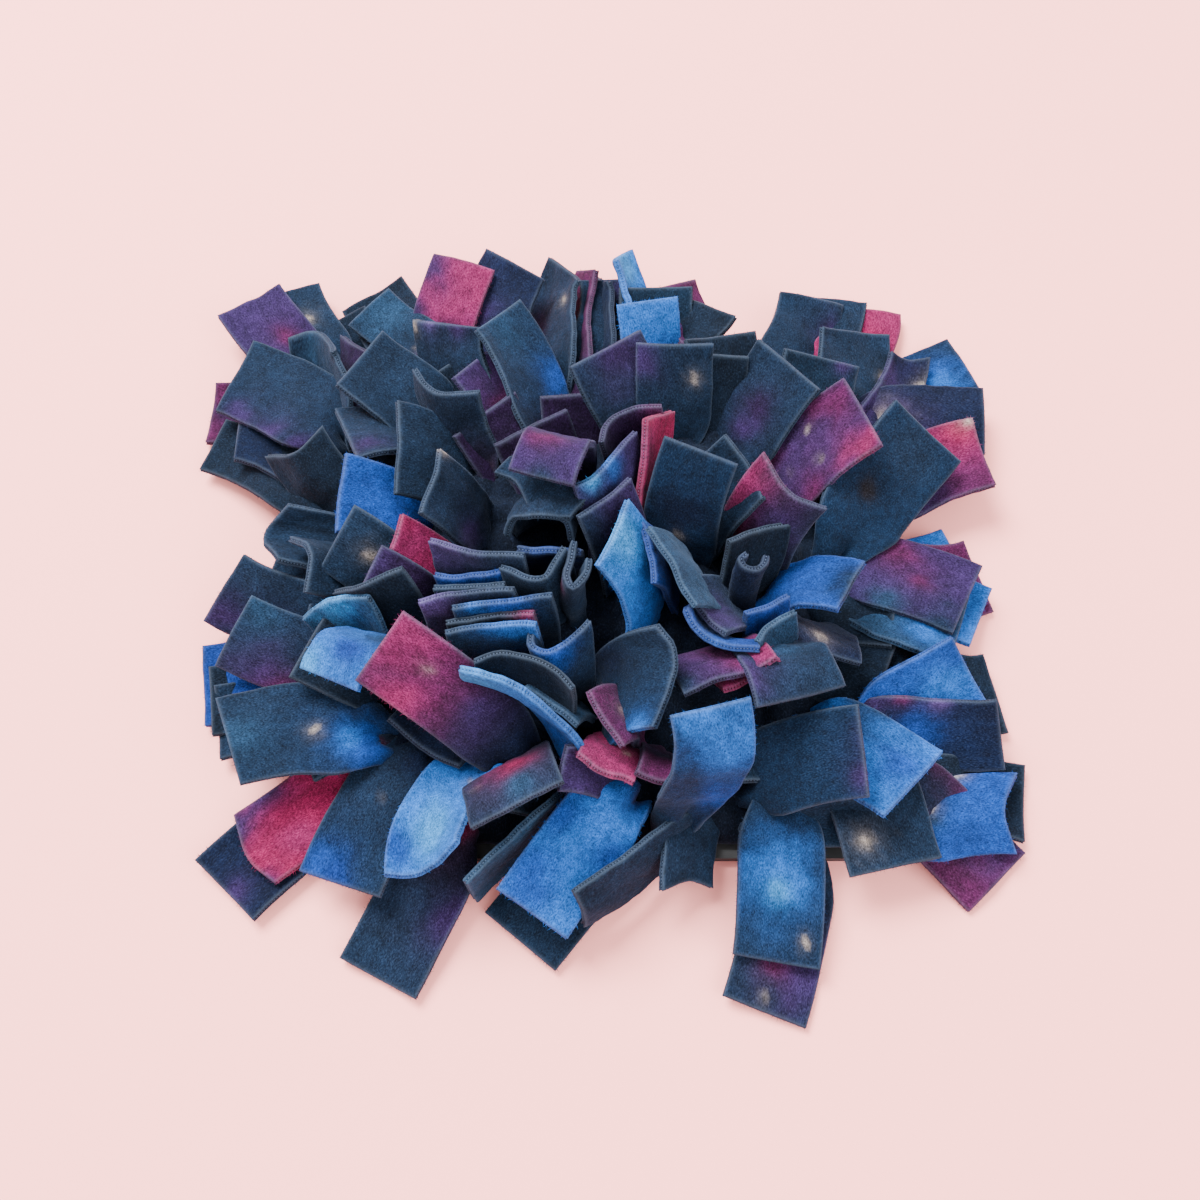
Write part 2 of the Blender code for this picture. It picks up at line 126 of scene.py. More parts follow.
# ---------------------------------------------------------------- strips
# One row a strip. a and b are the two corners of its free end, in mm, on the
# crown; ra and rb are how far each stands over the crown; bear is the plan
# direction in which the strip points (0 is +X, 90 is +Y) and tilt its slope
# at the free end; run is the plan distance from knot to free end. What follows
# are points of a curved end, between a and b. A row's place in the list seeds
# its strip's unevenness, so a new row goes at the end.
#    name    ax    ay   ra    bx    by   rb  bear tilt run
STRIPS = [
    ("A1", -138, 152, 10, -163, 135, 10, 115, 2, 58),
    ("A2", -121, 153, 6, -150, 141, 4, 118, -4, 55),
    ("A3", -85, 156, 5, -110, 138, 2, 118, 0, 55),
    ("A4", -91, 150, 15, -105, 125, 6, 140, 12, 50),
    ("A6", -100, 140, 5, -120, 127, 2, 128, 2, 50),
    ("A7", -106, 105, 13, -130, 125, 15, 108, 28, 42, (-121, 128, 19)),
    ("A8", -89, 93, -2, -110, 121, -2, 105, 14, 45),
    ("A9", -146, 122, 12, -158, 87, 12, 145, 8, 60),
    ("A10", -148, 92, 7, -146, 60, 7, 150, 5, 50),
    ("A11", -159, 100, -4, -160, 71, -4, 175, 0, 50),
    ("A12", -153, 83, 2, -161, 59, 2, 138, 0, 60),
    ("A13", -106, 60, 4, -130, 55, 4, 132, 25, 36, (-116, 51, 3)),
    ("A15", -88, 110, 8, -103, 80, 8, 145, 25, 45),
    ("A16", -47, 104, 6, -75, 117, 6, 108, 35, 38),
    ("A17", -44, 61, 3, -71, 79, 8, 122, 48, 30, (-60, 64, 0)),
    ("A18", -101, 66, -6, -89, 40, 0, 200, 15, 35),
    ("A19", -94, 42, 4, -95, 8, 0, 178, 28, 36),
    ("A21", -75, 63, 5, -72, 19, -8, 175, 35, 32),
    ("A22", -58, 35, 5, -64, 9, 5, 170, 50, 26, (-58, 22, 5)),
    ("E2", -116, 27, 2, -118, 4, 2, 168, 15, 40, (-126, 17, 2)),
    ("E3", -113, 13, 5, -104, -12, 5, 190, 45, 32, (-105, 3, 6)),
    ("E4", -88, 18, 8, -100, -5, 0, 155, 20, 35),
    ("E6", -134, 12, 8, -149, -10, 2, 160, 5, 50),
    ("E7", -128, -7, 6, -141, -31, 4, 160, 10, 50),
    ("E8", -92, -17, -4, -108, -44, -2, 165, 25, 32),
    ("E9", -103, -42, 8, -81, -54, 8, 230, -30, 34),
    ("E10", -79, -19, 2, -104, -22, 0, 110, 60, 20, (-94, -18, 3)),
    ("E11", -68, -12, 6, -94, -17, 2, 100, 70, 18, (-80, -14, 6)),
    ("E12", -76, -1, 5, -82, -16, 3, 165, 22, 30),
    ("E13", -69, 10, 0, -74, -8, -2, 165, 45, 26),
    ("F1", -25, -12, 3, -59, -3, 3, 95, 72, 10),
    ("F2", -11, -9, 3, -33, -15, 0, 95, 72, 10, (-18, -21, 2), (-25, -19, 2)),
    ("F3", -3, -13, 3, -6, -7, 3, 80, 70, 10, (-6, -23, 3), (-12, -23, 3)),
    ("F4", -27, -11, 0, -5, -11, 0, 268, 60, 12),
    ("F5", -36, 21, 0, -9, 1, 0, 236, -2, 16, (-28, 16, 0), (-22, 4, 0)),
    ("F6", 12, 18, 2, -7, 2, 2, 122, 55, 16),
    ("F7", -31, -17, -2, -56, -17, -2, 92, 75, 8),
    ("F8", -31, -21, -1, -56, -21, -1, 92, 75, 8),
    ("F9", -28, -24, 2, -61, -24, 2, 92, 72, 10),
    ("F10", -15, -26, 2, -49, -29, 2, 92, 72, 10),
    ("F11", -21, -32, -1, -51, -33, -1, 92, 75, 8),
    ("F12", -20, -34, 2, -51, -36, 2, 95, 72, 10, (-36, -37, 2)),
    ("F13", -3, -36, 2, -21, -38, 0, 85, 60, 14, (-12, -44, 2), (-19, -46, 2), (-23, -42, 1)),
    ("F15", -6, -55, 2, -40, -46, 0, 80, 72, 10, (-18, -49, 3), (-31, -45, 2)),
    ("F17", -46, -51, 12, -44, -52, -16, 172, 10, 50),
    ("B1", -45, 160, 20, -72, 169, 20, 75, 5, 50),
    ("B2", -23, 153, 18, -49, 172, 18, 78, 20, 50),
    ("B3", -7, 151, 20, -20, 167, 10, 88, 14, 62),
    ("B4", 0, 160, 18, -9, 160, 4, 90, 10, 78),
    ("B5", 5, 149, 12, 0, 150, -6, 92, 20, 40),
    ("B6", 13, 171, 20, 6, 165, 32, 103, 25, 48),
    ("B7", 18, 155, 8, -8, 148, 6, 78, 15, 45),
    ("B8", 42, 155, 12, 25, 141, 12, 110, 26, 52),
    ("B9", 56, 114, 0, 31, 137, 2, 52, 12, 40),
    ("B10", 62, 103, -4, 33, 92, -4, 85, 15, 35),
    ("B11", 40, 143, 14, 9, 142, 14, 90, 34, 38),
    ("B12", 33, 132, 14, 8, 122, 8, 95, 36, 36),
    ("B13", -33, 126, 10, -49, 100, 6, 113, 18, 60),
    ("B14", -38, 92, -12, -55, 70, -12, 120, 30, 40),
    ("B15", -31, 22, 12, -8, 14, 11, 252, -15, 32),
    ("B17", 13, 39, 4, -9, 15, 6, 130, 62, 16, (5, 26, 5), (0, 19, 5)),
    ("B18", 23, 52, 3, 1, 34, 0, 112, 68, 14, (14, 50, 3), (5, 45, 2)),
    ("B19", 17, 100, 6, -10, 74, 4, 130, 40, 32),
    ("C1", 45, 91, 6, 15, 89, 6, 90, 48, 30),
    ("C2", 58, 85, -5, 36, 84, -5, 88, 40, 30),
    ("C3", 85, 72, 6, 64, 98, 6, 50, 38, 36),
    ("C4", 105, 141, 4, 79, 148, 12, 66, 10, 52),
    ("C5", 116, 141, 2, 86, 146, 0, 74, 0, 52),
    ("C6", 130, 137, 1, 100, 138, 0, 58, -4, 56),
    ("C7", 123, 125, 6, 91, 116, 2, 84, 22, 48),
    ("C8", 104, 93, 2, 73, 94, 0, 80, 38, 34),
    ("C9", 109, 51, 14, 97, 82, 14, 32, 30, 42),
    ("C10", 83, 17, 9, 60, 35, 11, 52, 52, 24, (69, 18, 9)),
    ("C11", 50, 27, 8, 24, 37, 8, 76, 40, 30),
    ("C12", 61, 14, 0, 47, 40, 2, 32, 48, 26),
    ("C13", 27, 49, -6, 17, 45, 12, 82, 28, 42),
    ("G1", 11, 9, 4, -1, -16, 4, 130, 45, 36),
    ("G2", 17, -2, 5, 33, -30, 4, 202, 52, 24),
    ("G3", 15, 3, -2, 20, -22, -3, 190, 60, 20),
    ("G4", 28, -21, -5, 42, -40, -2, 205, 45, 26),
    ("G5", 29, -32, 1, 54, -44, 1, 215, 58, 20, (37, -41, 0)),
    ("G6", 29, -60, 0, 61, -47, 2, 283, 20, 26, (39, -55, 1), (51, -52, 1)),
    ("G7", 62, -47, 0, 42, -58, -4, 320, 35, 26),
    ("G8", 58, -7, 1, 51, -7, 1, 80, 66, 12, (57, -12, 1), (53, -15, 1), (49, -12, 1)),
    ("G9", 68, 7, -3, 45, -4, -3, 60, 55, 18),
    ("G10", 83, -25, 2, 96, -3, 3, -8, 16, 36),
    ("G11", 67, -27, 0, 53, -40, 0, 130, 68, 12),
    ("G12", 66, -22, -4, 50, -31, -4, 130, 68, 12),
    ("D2", 140, 114, 7, 121, 112, 5, 68, 20, 46, (131, 112, 6)),
    ("D3", 160, 97, 2, 149, 124, 2, 27, 10, 58),
    ("D4", 158, 67, 11, 161, 99, 11, 5, 6, 58),
    ("D5", 160, 51, 14, 154, 83, 14, 24, -2, 58),
    ("D6", 145, 59, 15, 118, 79, 15, 53, 10, 66),
    ("H1", 130, -22, -6, 149, 13, 8, -14, 8, 52),
    ("H2", 137, -25, -8, 151, 3, -2, -20, 0, 52),
    ("H3", 141, 0, -14, 131, 22, -14, 20, 2, 50),
    ("H4", 151, -6, -6, 140, 20, -8, 5, 0, 52),
    ("H5", 127, -35, -6, 139, -5, -8, -16, 8, 46),
    ("H6", 146, -50, 0, 129, -23, 4, 32, 16, 50),
    ("H7", 148, -68, 4, 147, -42, 14, -3, 6, 60),
    ("H9", 62, -38, -10, 90, -44, -10, 262, 10, 26),
    ("K0", 53, -63, 5, 84, -52, 5, 290, -15, 34),
    ("K1", 92, -87, 8, 89, -57, 8, 5, 26, 40),
    ("K2", 51, -59, 18, 24, -66, 16, 97, 30, 30),
    ("K3", 92, -103, -12, 95, -87, -8, 5, 15, 42),
    ("K4", 75, -140, -4, 45, -136, -10, 268, -6, 58),
    ("K5", 70, -158, -3, 42, -148, -5, 253, -3, 58),
    ("K6", 38, -117, -24, 21, -118, -10, 255, -4, 40, (30, -115, -19)),
    ("K7", -3, -130, -10, -7, -119, 3, 222, 4, 58),
    ("K8", -10, -132, -3, -33, -117, -5, 231, 5, 58),
    ("K9", -14, -141, -13, -37, -124, -24, 227, -3, 56),
    ("K10", -40, -121, -25, -44, -115, -3, 226, 8, 50),
    ("K11", -41, -100, 4, -11, -86, 4, 282, 16, 28),
    ("K12", -10, -74, -6, -13, -88, -7, 176, 30, 24),
    ("K13", -4, -59, 0, 8, -76, 0, 215, 45, 22),
    ("K14", -6, -77, -2, 13, -85, -3, 240, 48, 20, (2, -84, -2)),
    ("K15", 13, -84, -4, 25, -88, -4, 268, 30, 24),
    ("K17", 20, -70, 4, 21, -37, 4, -2, 50, 24, (24, -57, 4), (26, -45, 4)),
    ("L1", 97, -93, 5, 121, -68, 5, -35, 14, 50),
    ("L2", 85, -112, -6, 119, -103, 2, -74, -2, 46),
    ("L3", 149, -98, 5, 153, -69, 6, 14, 10, 52, (146, -83, 10)),
    ("L4", 130, -119, -1, 152, -98, -1, -42, -3, 58),
    ("L5", 151, -95, -1, 156, -66, -1, 2, 2, 55),
    ("L6", 151, -54, -3, 143, -26, -6, -18, 0, 52),
    ("I1", -139, -44, 12, -125, -78, 9, 184, 10, 58),
    ("I2", -148, -21, -5, -142, -54, -10, 175, -2, 55),
    ("I3", -139, -40, -12, -134, -68, -12, 180, 0, 50),
    ("I4", -143, -32, -9, -138, -59, -10, 178, 0, 52),
    ("I5", -127, -88, -8, -110, -112, -8, 214, 2, 62, (-121, -103, -8)),
    ("I6", -142, -101, -1, -118, -123, -4, 222, -3, 58),
    ("I7", -101, -109, -7, -72, -119, -9, 243, -2, 62),
    ("I8", -70, -113, 1, -45, -104, 1, 245, 8, 50, (-58, -112, 0)),
    ("I9", -87, -136, -8, -61, -149, -4, 243, -3, 60),
    ("J1", -66, -28, 12, -82, -50, 10, 148, 15, 62),
    ("J3", -24, -57, -6, -7, -70, -6, 230, 50, 22),
    ("F16", -31, -4, -8, -8, -7, -8, 270, 6, 22, (-30, 1, -4), (-25, 2, 2), (-18, 2, 3), (-10, 0, -2)),
]

# Strips whose plan direction turns from knot to free end, in degrees.
TURNS = {"F17": 25, "G1": 29, "K2": 28}

# How steeply a strip rises from its knot, against the usual 1: a low strip is
# meant to run under its neighbours and a high one over them.
ARCH = {
    "A1": 0.35, "A2": 0.3, "A4": 1.6, "A7": 1.3, "A9": 1.3, "B1": 0.1, "B4": 1.2, "B8": 1.5,
    "B13": 1.4, "B15": 1.5, "C4": 0.8, "C5": 0.3, "C6": 0.15, "C7": 1.3, "D3": 0.3, "D4": 0.6,
    "D5": 0.6, "D6": 1.35, "E9": 1.6, "F5": 1.3, "G10": 1.4, "I1": 1.2, "I5": 1.1, "I6": 0.2,
    "I7": 0.8, "I8": 2.0, "I9": 0.5, "J1": 1.2, "K0": 1.3, "K5": 0.15, "K7": 0.6, "K2": 1.3,
    "K4": 1.6, "K8": 2.0, "L2": 1.3, "L3": 0.3,
}

# Plain strips of the lower layer, for the gaps between the others. x and y
# are the middle of the free end; bear and tilt are as above.
LOWER_RISE = -20.0
LOWER_WIDE = 30.0
LOWER_RUN = 34.0
#    x     y   bear tilt dye
LOWER = [
    (-102, -68, 206, 8, "slate"), (-101, -8, 172, 12, "slate"),
    (-58, -74, 236, 26, "navy"), (44, -86, 276, 22, "teal"),
    (100, -46, -22, 16, "dark"), (106, -20, -10, 14, "dark"),
    (102, 32, 16, 18, "navy"), (-20, -96, 262, 12, "dark"),
    (-6, 58, 96, 50, "plum"), (-24, 42, 122, 52, "plum"),
    (-42, 50, 134, 42, "plum"), (-64, 74, 130, 30, "dark"),
    (30, 30, 60, 40, "slate"), (-119, 4, 162, 8, "slate"),
]

# The cloth of the knots, which covers most of the rubber between the strips.
BED_W = 212.0
BED_D = 190.0
BED_CELLS = (54, 48)
BED_T = 5.0               # least height above the rubber, before it swells or sinks
BED_LEAST = 2.0           # and after that
BED_UNDER = 37.0          # under the crown
BED_RIM = 6.0             # it bends down this far in from its rim,
BED_DROP = 5.0            # by this much
KNOT_PITCH = 13.0
KNOT_RISE = 3.4
BED_DYE = ("bed", (("navy", -0.3, 0.3, 30), ("slate", 0.35, 0.75, 20), ("bed", 0.0, 0.5, 40)))

# ---------------------------------------------------------------- dyes
COLOURS = {
    "slate": (0.003, 0.008, 0.019),
    "deep": (0.0017, 0.0072, 0.02),
    "steel": (0.0055, 0.018, 0.04),
    "dark": (0.0019, 0.0048, 0.011),
    "teal": (0.0019, 0.0065, 0.015),
    "navy": (0.0019, 0.0041, 0.014),
    "bed": (0.0017, 0.0033, 0.0084),
    "violet": (0.014, 0.0069, 0.033),
    "plum": (0.0084, 0.003, 0.016),
    "lilac": (0.036, 0.021, 0.078),
    "magenta": (0.038, 0.0043, 0.026),
    "pink": (0.11, 0.0078, 0.042),
    "crimson": (0.11, 0.0033, 0.026),
    "cobalt": (0.0026, 0.016, 0.097),
    "royal": (0.003, 0.024, 0.13),
    "sky": (0.0064, 0.053, 0.21),
    "cyan": (0.017, 0.11, 0.27),
    "brown": (0.006, 0.0043, 0.0039),
    "cream": (0.19, 0.16, 0.14),
}

# A strip's ground colour, its clouds of dye together, then each of its white stars.
# A cloud is colour, across (-0.5 corner a to 0.5 corner b), along (0 knot to
# 1 free end) and radius in mm; a star is across, along and radius in mm.
DYES = {
    "A1": ("violet", (("magenta", -0.1, 0.72, 4), ("slate", 0.5, 0.6, 6))),
    "A2": ("slate", (), (-0.15, 0.74, 1.8)),
    "A4": ("slate", (("steel", -0.1, 0.9, 12), ("magenta", 0.1, 0.42, 2.5)), (0.1, 0.5, 0.8)),
    "A7": ("slate", (("crimson", 0.1, 0.35, 3), ("steel", 0.2, 0.95, 5))),
    "A9": ("slate", (("violet", 0.5, 0.85, 6), ("violet", 0.5, 0.6, 6), ("violet", 0.5, 0.35, 6))),
    "A11": ("magenta", (("plum", 0.0, 0.9, 6),)),
    "A16": ("slate", (("lilac", 0.2, 1.02, 3), ("violet", -0.2, 1.0, 4)), (0.45, 0.97, 1.0)),
    "A17": ("slate", (("plum", 0.2, 0.45, 9), ("crimson", 0.0, 0.22, 8))),
    "A18": ("slate", (("violet", 0.3, 0.9, 4),)),
    "A19": ("royal", (("cobalt", 0.2, 0.4, 12),)),
    "A22": ("slate", (("violet", 0.3, 0.6, 7),), (-0.5, 0.98, 1.2)),
    "E4": ("slate", (("steel", -0.3, 0.65, 6),), (-0.05, 0.8, 1.7)),
    "E6": ("slate", (("violet", 0.4, 0.7, 8), ("violet", 0.3, 0.92, 6))),
    "E7": ("slate", (("violet", 0.4, 0.75, 9), ("magenta", 0.5, 0.6, 6), ("steel", -0.4, 0.9, 6))),
    "E9": ("sky", (("cyan", -0.45, 0.97, 6), ("steel", 0.3, 0.6, 9), ("cobalt", 0.1, 0.8, 7))),
    "E10": ("steel", (("cyan", 0.0, 1.0, 7),)),
    "E12": ("plum", (("violet", 0.0, 1.0, 6), ("slate", 0.0, 0.3, 10))),
    "E13": ("crimson", (("pink", 0.1, 0.9, 9),)),
    "F1": ("slate", (("lilac", 0.4, 1.0, 10),)),
    "F3": ("slate", (("pink", 0.1, 0.9, 2),)),
    "F4": ("navy", (("cobalt", 0.0, 0.9, 9),)),
    "F6": ("slate", (("violet", -0.3, 0.9, 11),)),
    "F9": ("slate", (("lilac", 0.45, 1.0, 9),)),
    "F10": ("slate", (("royal", 0.0, 1.0, 7), ("sky", 0.3, 1.0, 3))),
    "F11": ("dark", (("pink", -0.4, 1.0, 3),)),
    "F12": ("slate", (("sky", -0.3, 1.0, 8),)),
    "F13": ("slate", (("royal", 0.0, 1.0, 6),)),
    "F16": ("slate", (("navy", 0.0, 0.3, 8),)),
    "F17": ("sky", (("cyan", -0.2, 0.97, 10), ("cyan", 0.4, 0.97, 10), ("royal", 0.0, 0.5, 9))),
    "B1": ("pink", (("violet", 0.55, 0.95, 10), ("violet", 0.5, 0.6, 7), ("plum", -0.1, 0.45, 11))),
    "B2": ("navy", (("violet", 0.4, 0.6, 10),)),
    "B3": ("slate", (("plum", 0.3, 0.7, 5),), (-0.25, 0.78, 1.8)),
    "B4": ("magenta", (("plum", 0.0, 0.35, 16), ("violet", 0.4, 0.6, 7))),
    "B6": ("sky", (("cyan", 0.0, 0.95, 7),)),
    "B7": ("slate", (("violet", -0.3, 0.9, 6),)),
    "B8": ("magenta", (("violet", 0.0, 0.5, 9),)),
    "B12": ("sky", (("royal", 0.0, 0.5, 8),)),
    "B13": ("slate", (("steel", 0.1, 0.95, 8), ("royal", -0.4, 0.62, 6), ("violet", 0.0, 0.22, 9))),
    "B14": ("violet", (("magenta", 0.0, 0.6, 8),)),
    "B15": ("violet", (("magenta", -0.2, 0.8, 6), ("slate", 0.0, 1.0, 4))),
    "B17": ("violet", (("sky", 0.0, 1.0, 4), ("cyan", 0.3, 1.0, 3))),
    "B18": ("plum", (("violet", -0.2, 0.8, 10), ("magenta", -0.45, 0.95, 5))),
    "B19": ("slate", (("violet", -0.1, 0.95, 11),)),
    "C1": ("slate", (("violet", 0.4, 0.9, 5),), (-0.25, 0.8, 1.4)),
    "C3": ("slate", (("plum", 0.0, 0.66, 6), ("violet", 0.0, 0.5, 5))),
    "C4": ("slate", (("violet", -0.35, 0.8, 5),)),
    "C6": ("pink", (("crimson", 0.0, 0.7, 10),)),
    "C7": ("slate", (), (-0.42, 0.72, 1.6)),
    "C8": ("teal", (("violet", -0.3, 1.0, 3),)),
    "C9": ("violet", (("pink", -0.4, 0.9, 7), ("magenta", -0.45, 0.5, 7),
            ("magenta", 0.35, 0.9, 7), ("magenta", 0.45, 0.4, 6)), (0.25, 0.72, 0.6),
            (-0.15, 0.66, 0.8), (0.0, 0.45, 0.6)),
    "C10": ("slate", (("pink", 0.4, 0.85, 10), ("crimson", 0.35, 0.5, 8), ("violet", -0.1, 0.8, 9))),
    "C11": ("deep", (("navy", 0.0, 0.7, 10),), (0.0, 0.55, 1.0)),
    "C13": ("crimson", (("pink", 0.3, 0.9, 6),)),
    "G1": ("sky", (("cyan", 0.0, 0.98, 9), ("royal", 0.0, 0.3, 9))),
    "G4": ("slate", (("violet", 0.2, 0.9, 9),)),
    "G5": ("cobalt", (("royal", 0.0, 1.0, 7),)),
    "G6": ("violet", (("pink", 0.45, 0.92, 8), ("magenta", 0.05, 0.72, 9), ("slate", -0.5, 0.95, 6))),
    "G7": ("pink", (("crimson", 0.0, 0.7, 10),)),
    "G10": ("royal", (("slate", 0.0, 1.0, 8), ("slate", -0.4, 0.55, 5))),
    "D2": ("navy", (("violet", 0.45, 0.75, 9), ("violet", 0.4, 0.4, 9)), (-0.45, 0.8, 2.2)),
    "D3": ("slate", (("royal", -0.1, 0.75, 9), ("sky", -0.2, 0.82, 6))),
    "D4": ("navy", (("violet", -0.1, 0.4, 11), ("violet", -0.3, 0.62, 5)), (0.0, 0.42, 3.8)),
    "D5": ("magenta", (("pink", 0.25, 0.9, 9), ("crimson", 0.35, 0.9, 5),
            ("violet", -0.3, 0.55, 12), ("plum", 0.0, 0.2, 14)), (0.45, 0.97, 1.9)),
    "D6": ("deep", (("brown", 0.1, 0.6, 3.5), ("slate", 0.0, 0.9, 12))),
    "H1": ("violet", (("magenta", 0.3, 0.55, 7), ("magenta", 0.0, 0.72, 4),
            ("slate", -0.5, 0.9, 8), ("steel", -0.5, 0.5, 7))),
    "H2": ("sky", (("royal", 0.0, 0.6, 9),)),
    "H3": ("sky", (("teal", 0.0, 0.5, 10),)),
    "H4": ("magenta", (("plum", 0.0, 0.6, 9),)),
    "H5": ("steel", (("sky", -0.2, 0.8, 6),)),
    "H6": ("royal", (("sky", 0.0, 0.85, 9),)),
    "H7": ("navy", (("royal", 0.05, 0.6, 6), ("magenta", 0.5, 0.5, 3), ("violet", 0.5, 0.35, 5),
            ("lilac", 0.5, 0.7, 3))),
    "H9": ("navy", (), (0.0, 0.85, 2.2)),
    "K0": ("slate", (("steel", 0.0, 0.6, 8), ("violet", -0.5, 0.8, 8))),
    "K1": ("deep", (("violet", 0.1, 1.05, 4), ("violet", -0.3, 1.0, 4))),
    "K2": ("slate", (("sky", -0.25, 0.85, 11), ("sky", 0.1, 1.0, 8), ("royal", -0.4, 0.45, 8))),
    "K4": ("slate", (("sky", 0.05, 0.62, 10), ("cyan", 0.05, 0.7, 3), ("navy", 0.0, 1.08, 6)),
            (-0.3, 0.9, 1.0)),
    "K5": ("slate", (("violet", -0.35, 0.8, 10), ("magenta", 0.05, 0.8, 4),
            ("magenta", 0.0, 0.55, 4)), (0.05, 0.95, 0.8)),
    "K8": ("sky", (("royal", 0.3, 0.9, 10), ("royal", -0.5, 0.6, 8), ("royal", 0.5, 0.55, 7),
            ("lilac", 0.0, 0.05, 8))),
    "K11": ("slate", (("magenta", 0.0, 0.62, 8), ("crimson", 0.1, 0.66, 6),
            ("steel", 0.1, 0.9, 6)), (-0.35, 0.72, 0.6)),
    "K13": ("magenta", (("violet", 0.4, 0.7, 8),), (0.0, 0.8, 1.4)),
    "K14": ("pink", (("crimson", 0.0, 0.55, 6), ("magenta", 0.4, 0.3, 5)), (0.2, 0.7, 1.0)),
    "K15": ("magenta", (("plum", 0.0, 0.6, 9),)),
    "K17": ("slate", (("sky", -0.5, 0.85, 5), ("sky", -0.5, 0.6, 4), ("navy", 0.4, 0.6, 10))),
    "L1": ("sky", (("royal", 0.1, 0.9, 7), ("slate", -0.1, 0.45, 11), ("slate", 0.35, 0.58, 8))),
    "L2": ("slate", (), (-0.25, 0.82, 2.4)),
    "L3": ("royal", (("steel", 0.1, 0.4, 9),), (0.1, 0.52, 1.6), (0.45, 0.72, 1.6)),
    "L4": ("magenta", (("violet", 0.4, 0.85, 12), ("slate", 0.0, 0.42, 16))),
    "I1": ("slate", (("royal", 0.15, 0.3, 9), ("sky", 0.1, 0.4, 4), ("steel", 0.0, 0.95, 6)),
            (0.05, 0.6, 1.4)),
    "I5": ("crimson", (("slate", -0.45, 0.14, 12), ("dark", -0.5, 0.15, 10),
            ("violet", -0.5, 0.85, 7), ("violet", -0.3, 1.0, 5), ("violet", 0.4, 1.02, 4),
            ("pink", 0.2, 0.8, 6))),
    "I6": ("navy", (("violet", 0.1, 0.97, 4),)),
    "I7": ("slate", (("royal", -0.3, 1.0, 6), ("cobalt", -0.1, 1.0, 5), ("navy", 0.2, 0.3, 9)),
            (0.0, 0.6, 0.5)),
    "I8": ("sky", (("cyan", 0.0, 0.8, 8), ("royal", -0.4, 0.9, 6)), (0.2, 0.45, 1.3)),
    "I9": ("slate", (("violet", 0.5, 0.62, 8), ("crimson", 0.0, 0.12, 8))),
    "J1": ("navy", (("pink", -0.2, 0.92, 11), ("magenta", 0.0, 0.78, 13), ("pink", 0.45, 0.85, 7),
            ("violet", 0.0, 0.55, 8), ("navy", 0.0, 0.25, 14)), (-0.1, 0.84, 1.0)),
}

# The strips of one colour only.
PLAIN = {
    "dark": "A3 A6 A12 A13 E8 E11 F15 B9 B10 C2 G9 L5 L6 I4",
    "plum": "A8",
    "navy": "A10 B5 G8",
    "slate": "A15 A21 E2 E3 F2 F5 F8 C5 C12 K3 K6 K7 K9 I3",
    "cobalt": "F7 G3 G12 I2",
    "teal": "B11",
    "steel": "G2 G11 K10 J3",
    "violet": "K12",
}
for ground, names in PLAIN.items():
    DYES.update({name: (ground, ()) for name in names.split()})


# ---------------------------------------------------------------- one strip
def unit(v):
    return v / np.maximum(np.linalg.norm(v, axis=-1, keepdims=True), 1e-9)


def ease(x):
    x = np.clip(x, 0.0, 1.0)
    return x * x * (3 - 2 * x)


def crown(x, y):
    far_x = (abs(x) / CROWN_RIM) ** CROWN_POWER
    far_y = (abs(y) / CROWN_RIM) ** CROWN_POWER
    rho = (far_x + far_y) ** (1.0 / CROWN_POWER)
    return CROWN_LOW + CROWN_HIGH * max(0.0, 1.0 - rho * rho)


def corner(x, y, rise):
    """A point of a free end: it leaves the crown towards the camera."""
    z0 = crown(x, y)
    z = max(z0 + rise, FLOOR_MID)
    t = (z - z0) / (EYE[2] - z0)
    return np.array([x + (EYE[0] - x) * t, y + (EYE[1] - y) * t, z])


def catmull(count, want):
    """Weights that read a smooth curve through count even points at the places in want (0 to 1)."""
    pos = np.clip(want, 0, 1) * (count - 1)
    k = np.minimum(pos.astype(int), count - 2)
    t = pos - k
    out = np.zeros((len(want), count + 2))
    rows = np.arange(len(want))
    out[rows, k] += -0.5 * t + t ** 2 - 0.5 * t ** 3
    out[rows, k + 1] += 1 - 2.5 * t ** 2 + 1.5 * t ** 3
    out[rows, k + 2] += 0.5 * t + 2 * t ** 2 - 1.5 * t ** 3
    out[rows, k + 3] += -0.5 * t ** 2 + 0.5 * t ** 3
    out[:, 1] += 2 * out[:, 0]
    out[:, 2] -= out[:, 0]
    out[:, count] += 2 * out[:, count + 1]
    out[:, count - 1] -= out[:, count + 1]
    return out[:, 1:count + 1]


def smooth_end(pts, count):
    """Even points on a smooth curve through the corners and via points of a free end."""
    pts = np.array(pts)
    fine = catmull(len(pts), np.linspace(0, 1, 60)) @ pts
    run = np.concatenate([[0], np.cumsum(np.linalg.norm(np.diff(fine, axis=0), axis=1))])
    want = np.linspace(0, run[-1], count)
    return np.stack([np.interp(want, run, fine[:, i]) for i in range(3)], -1)


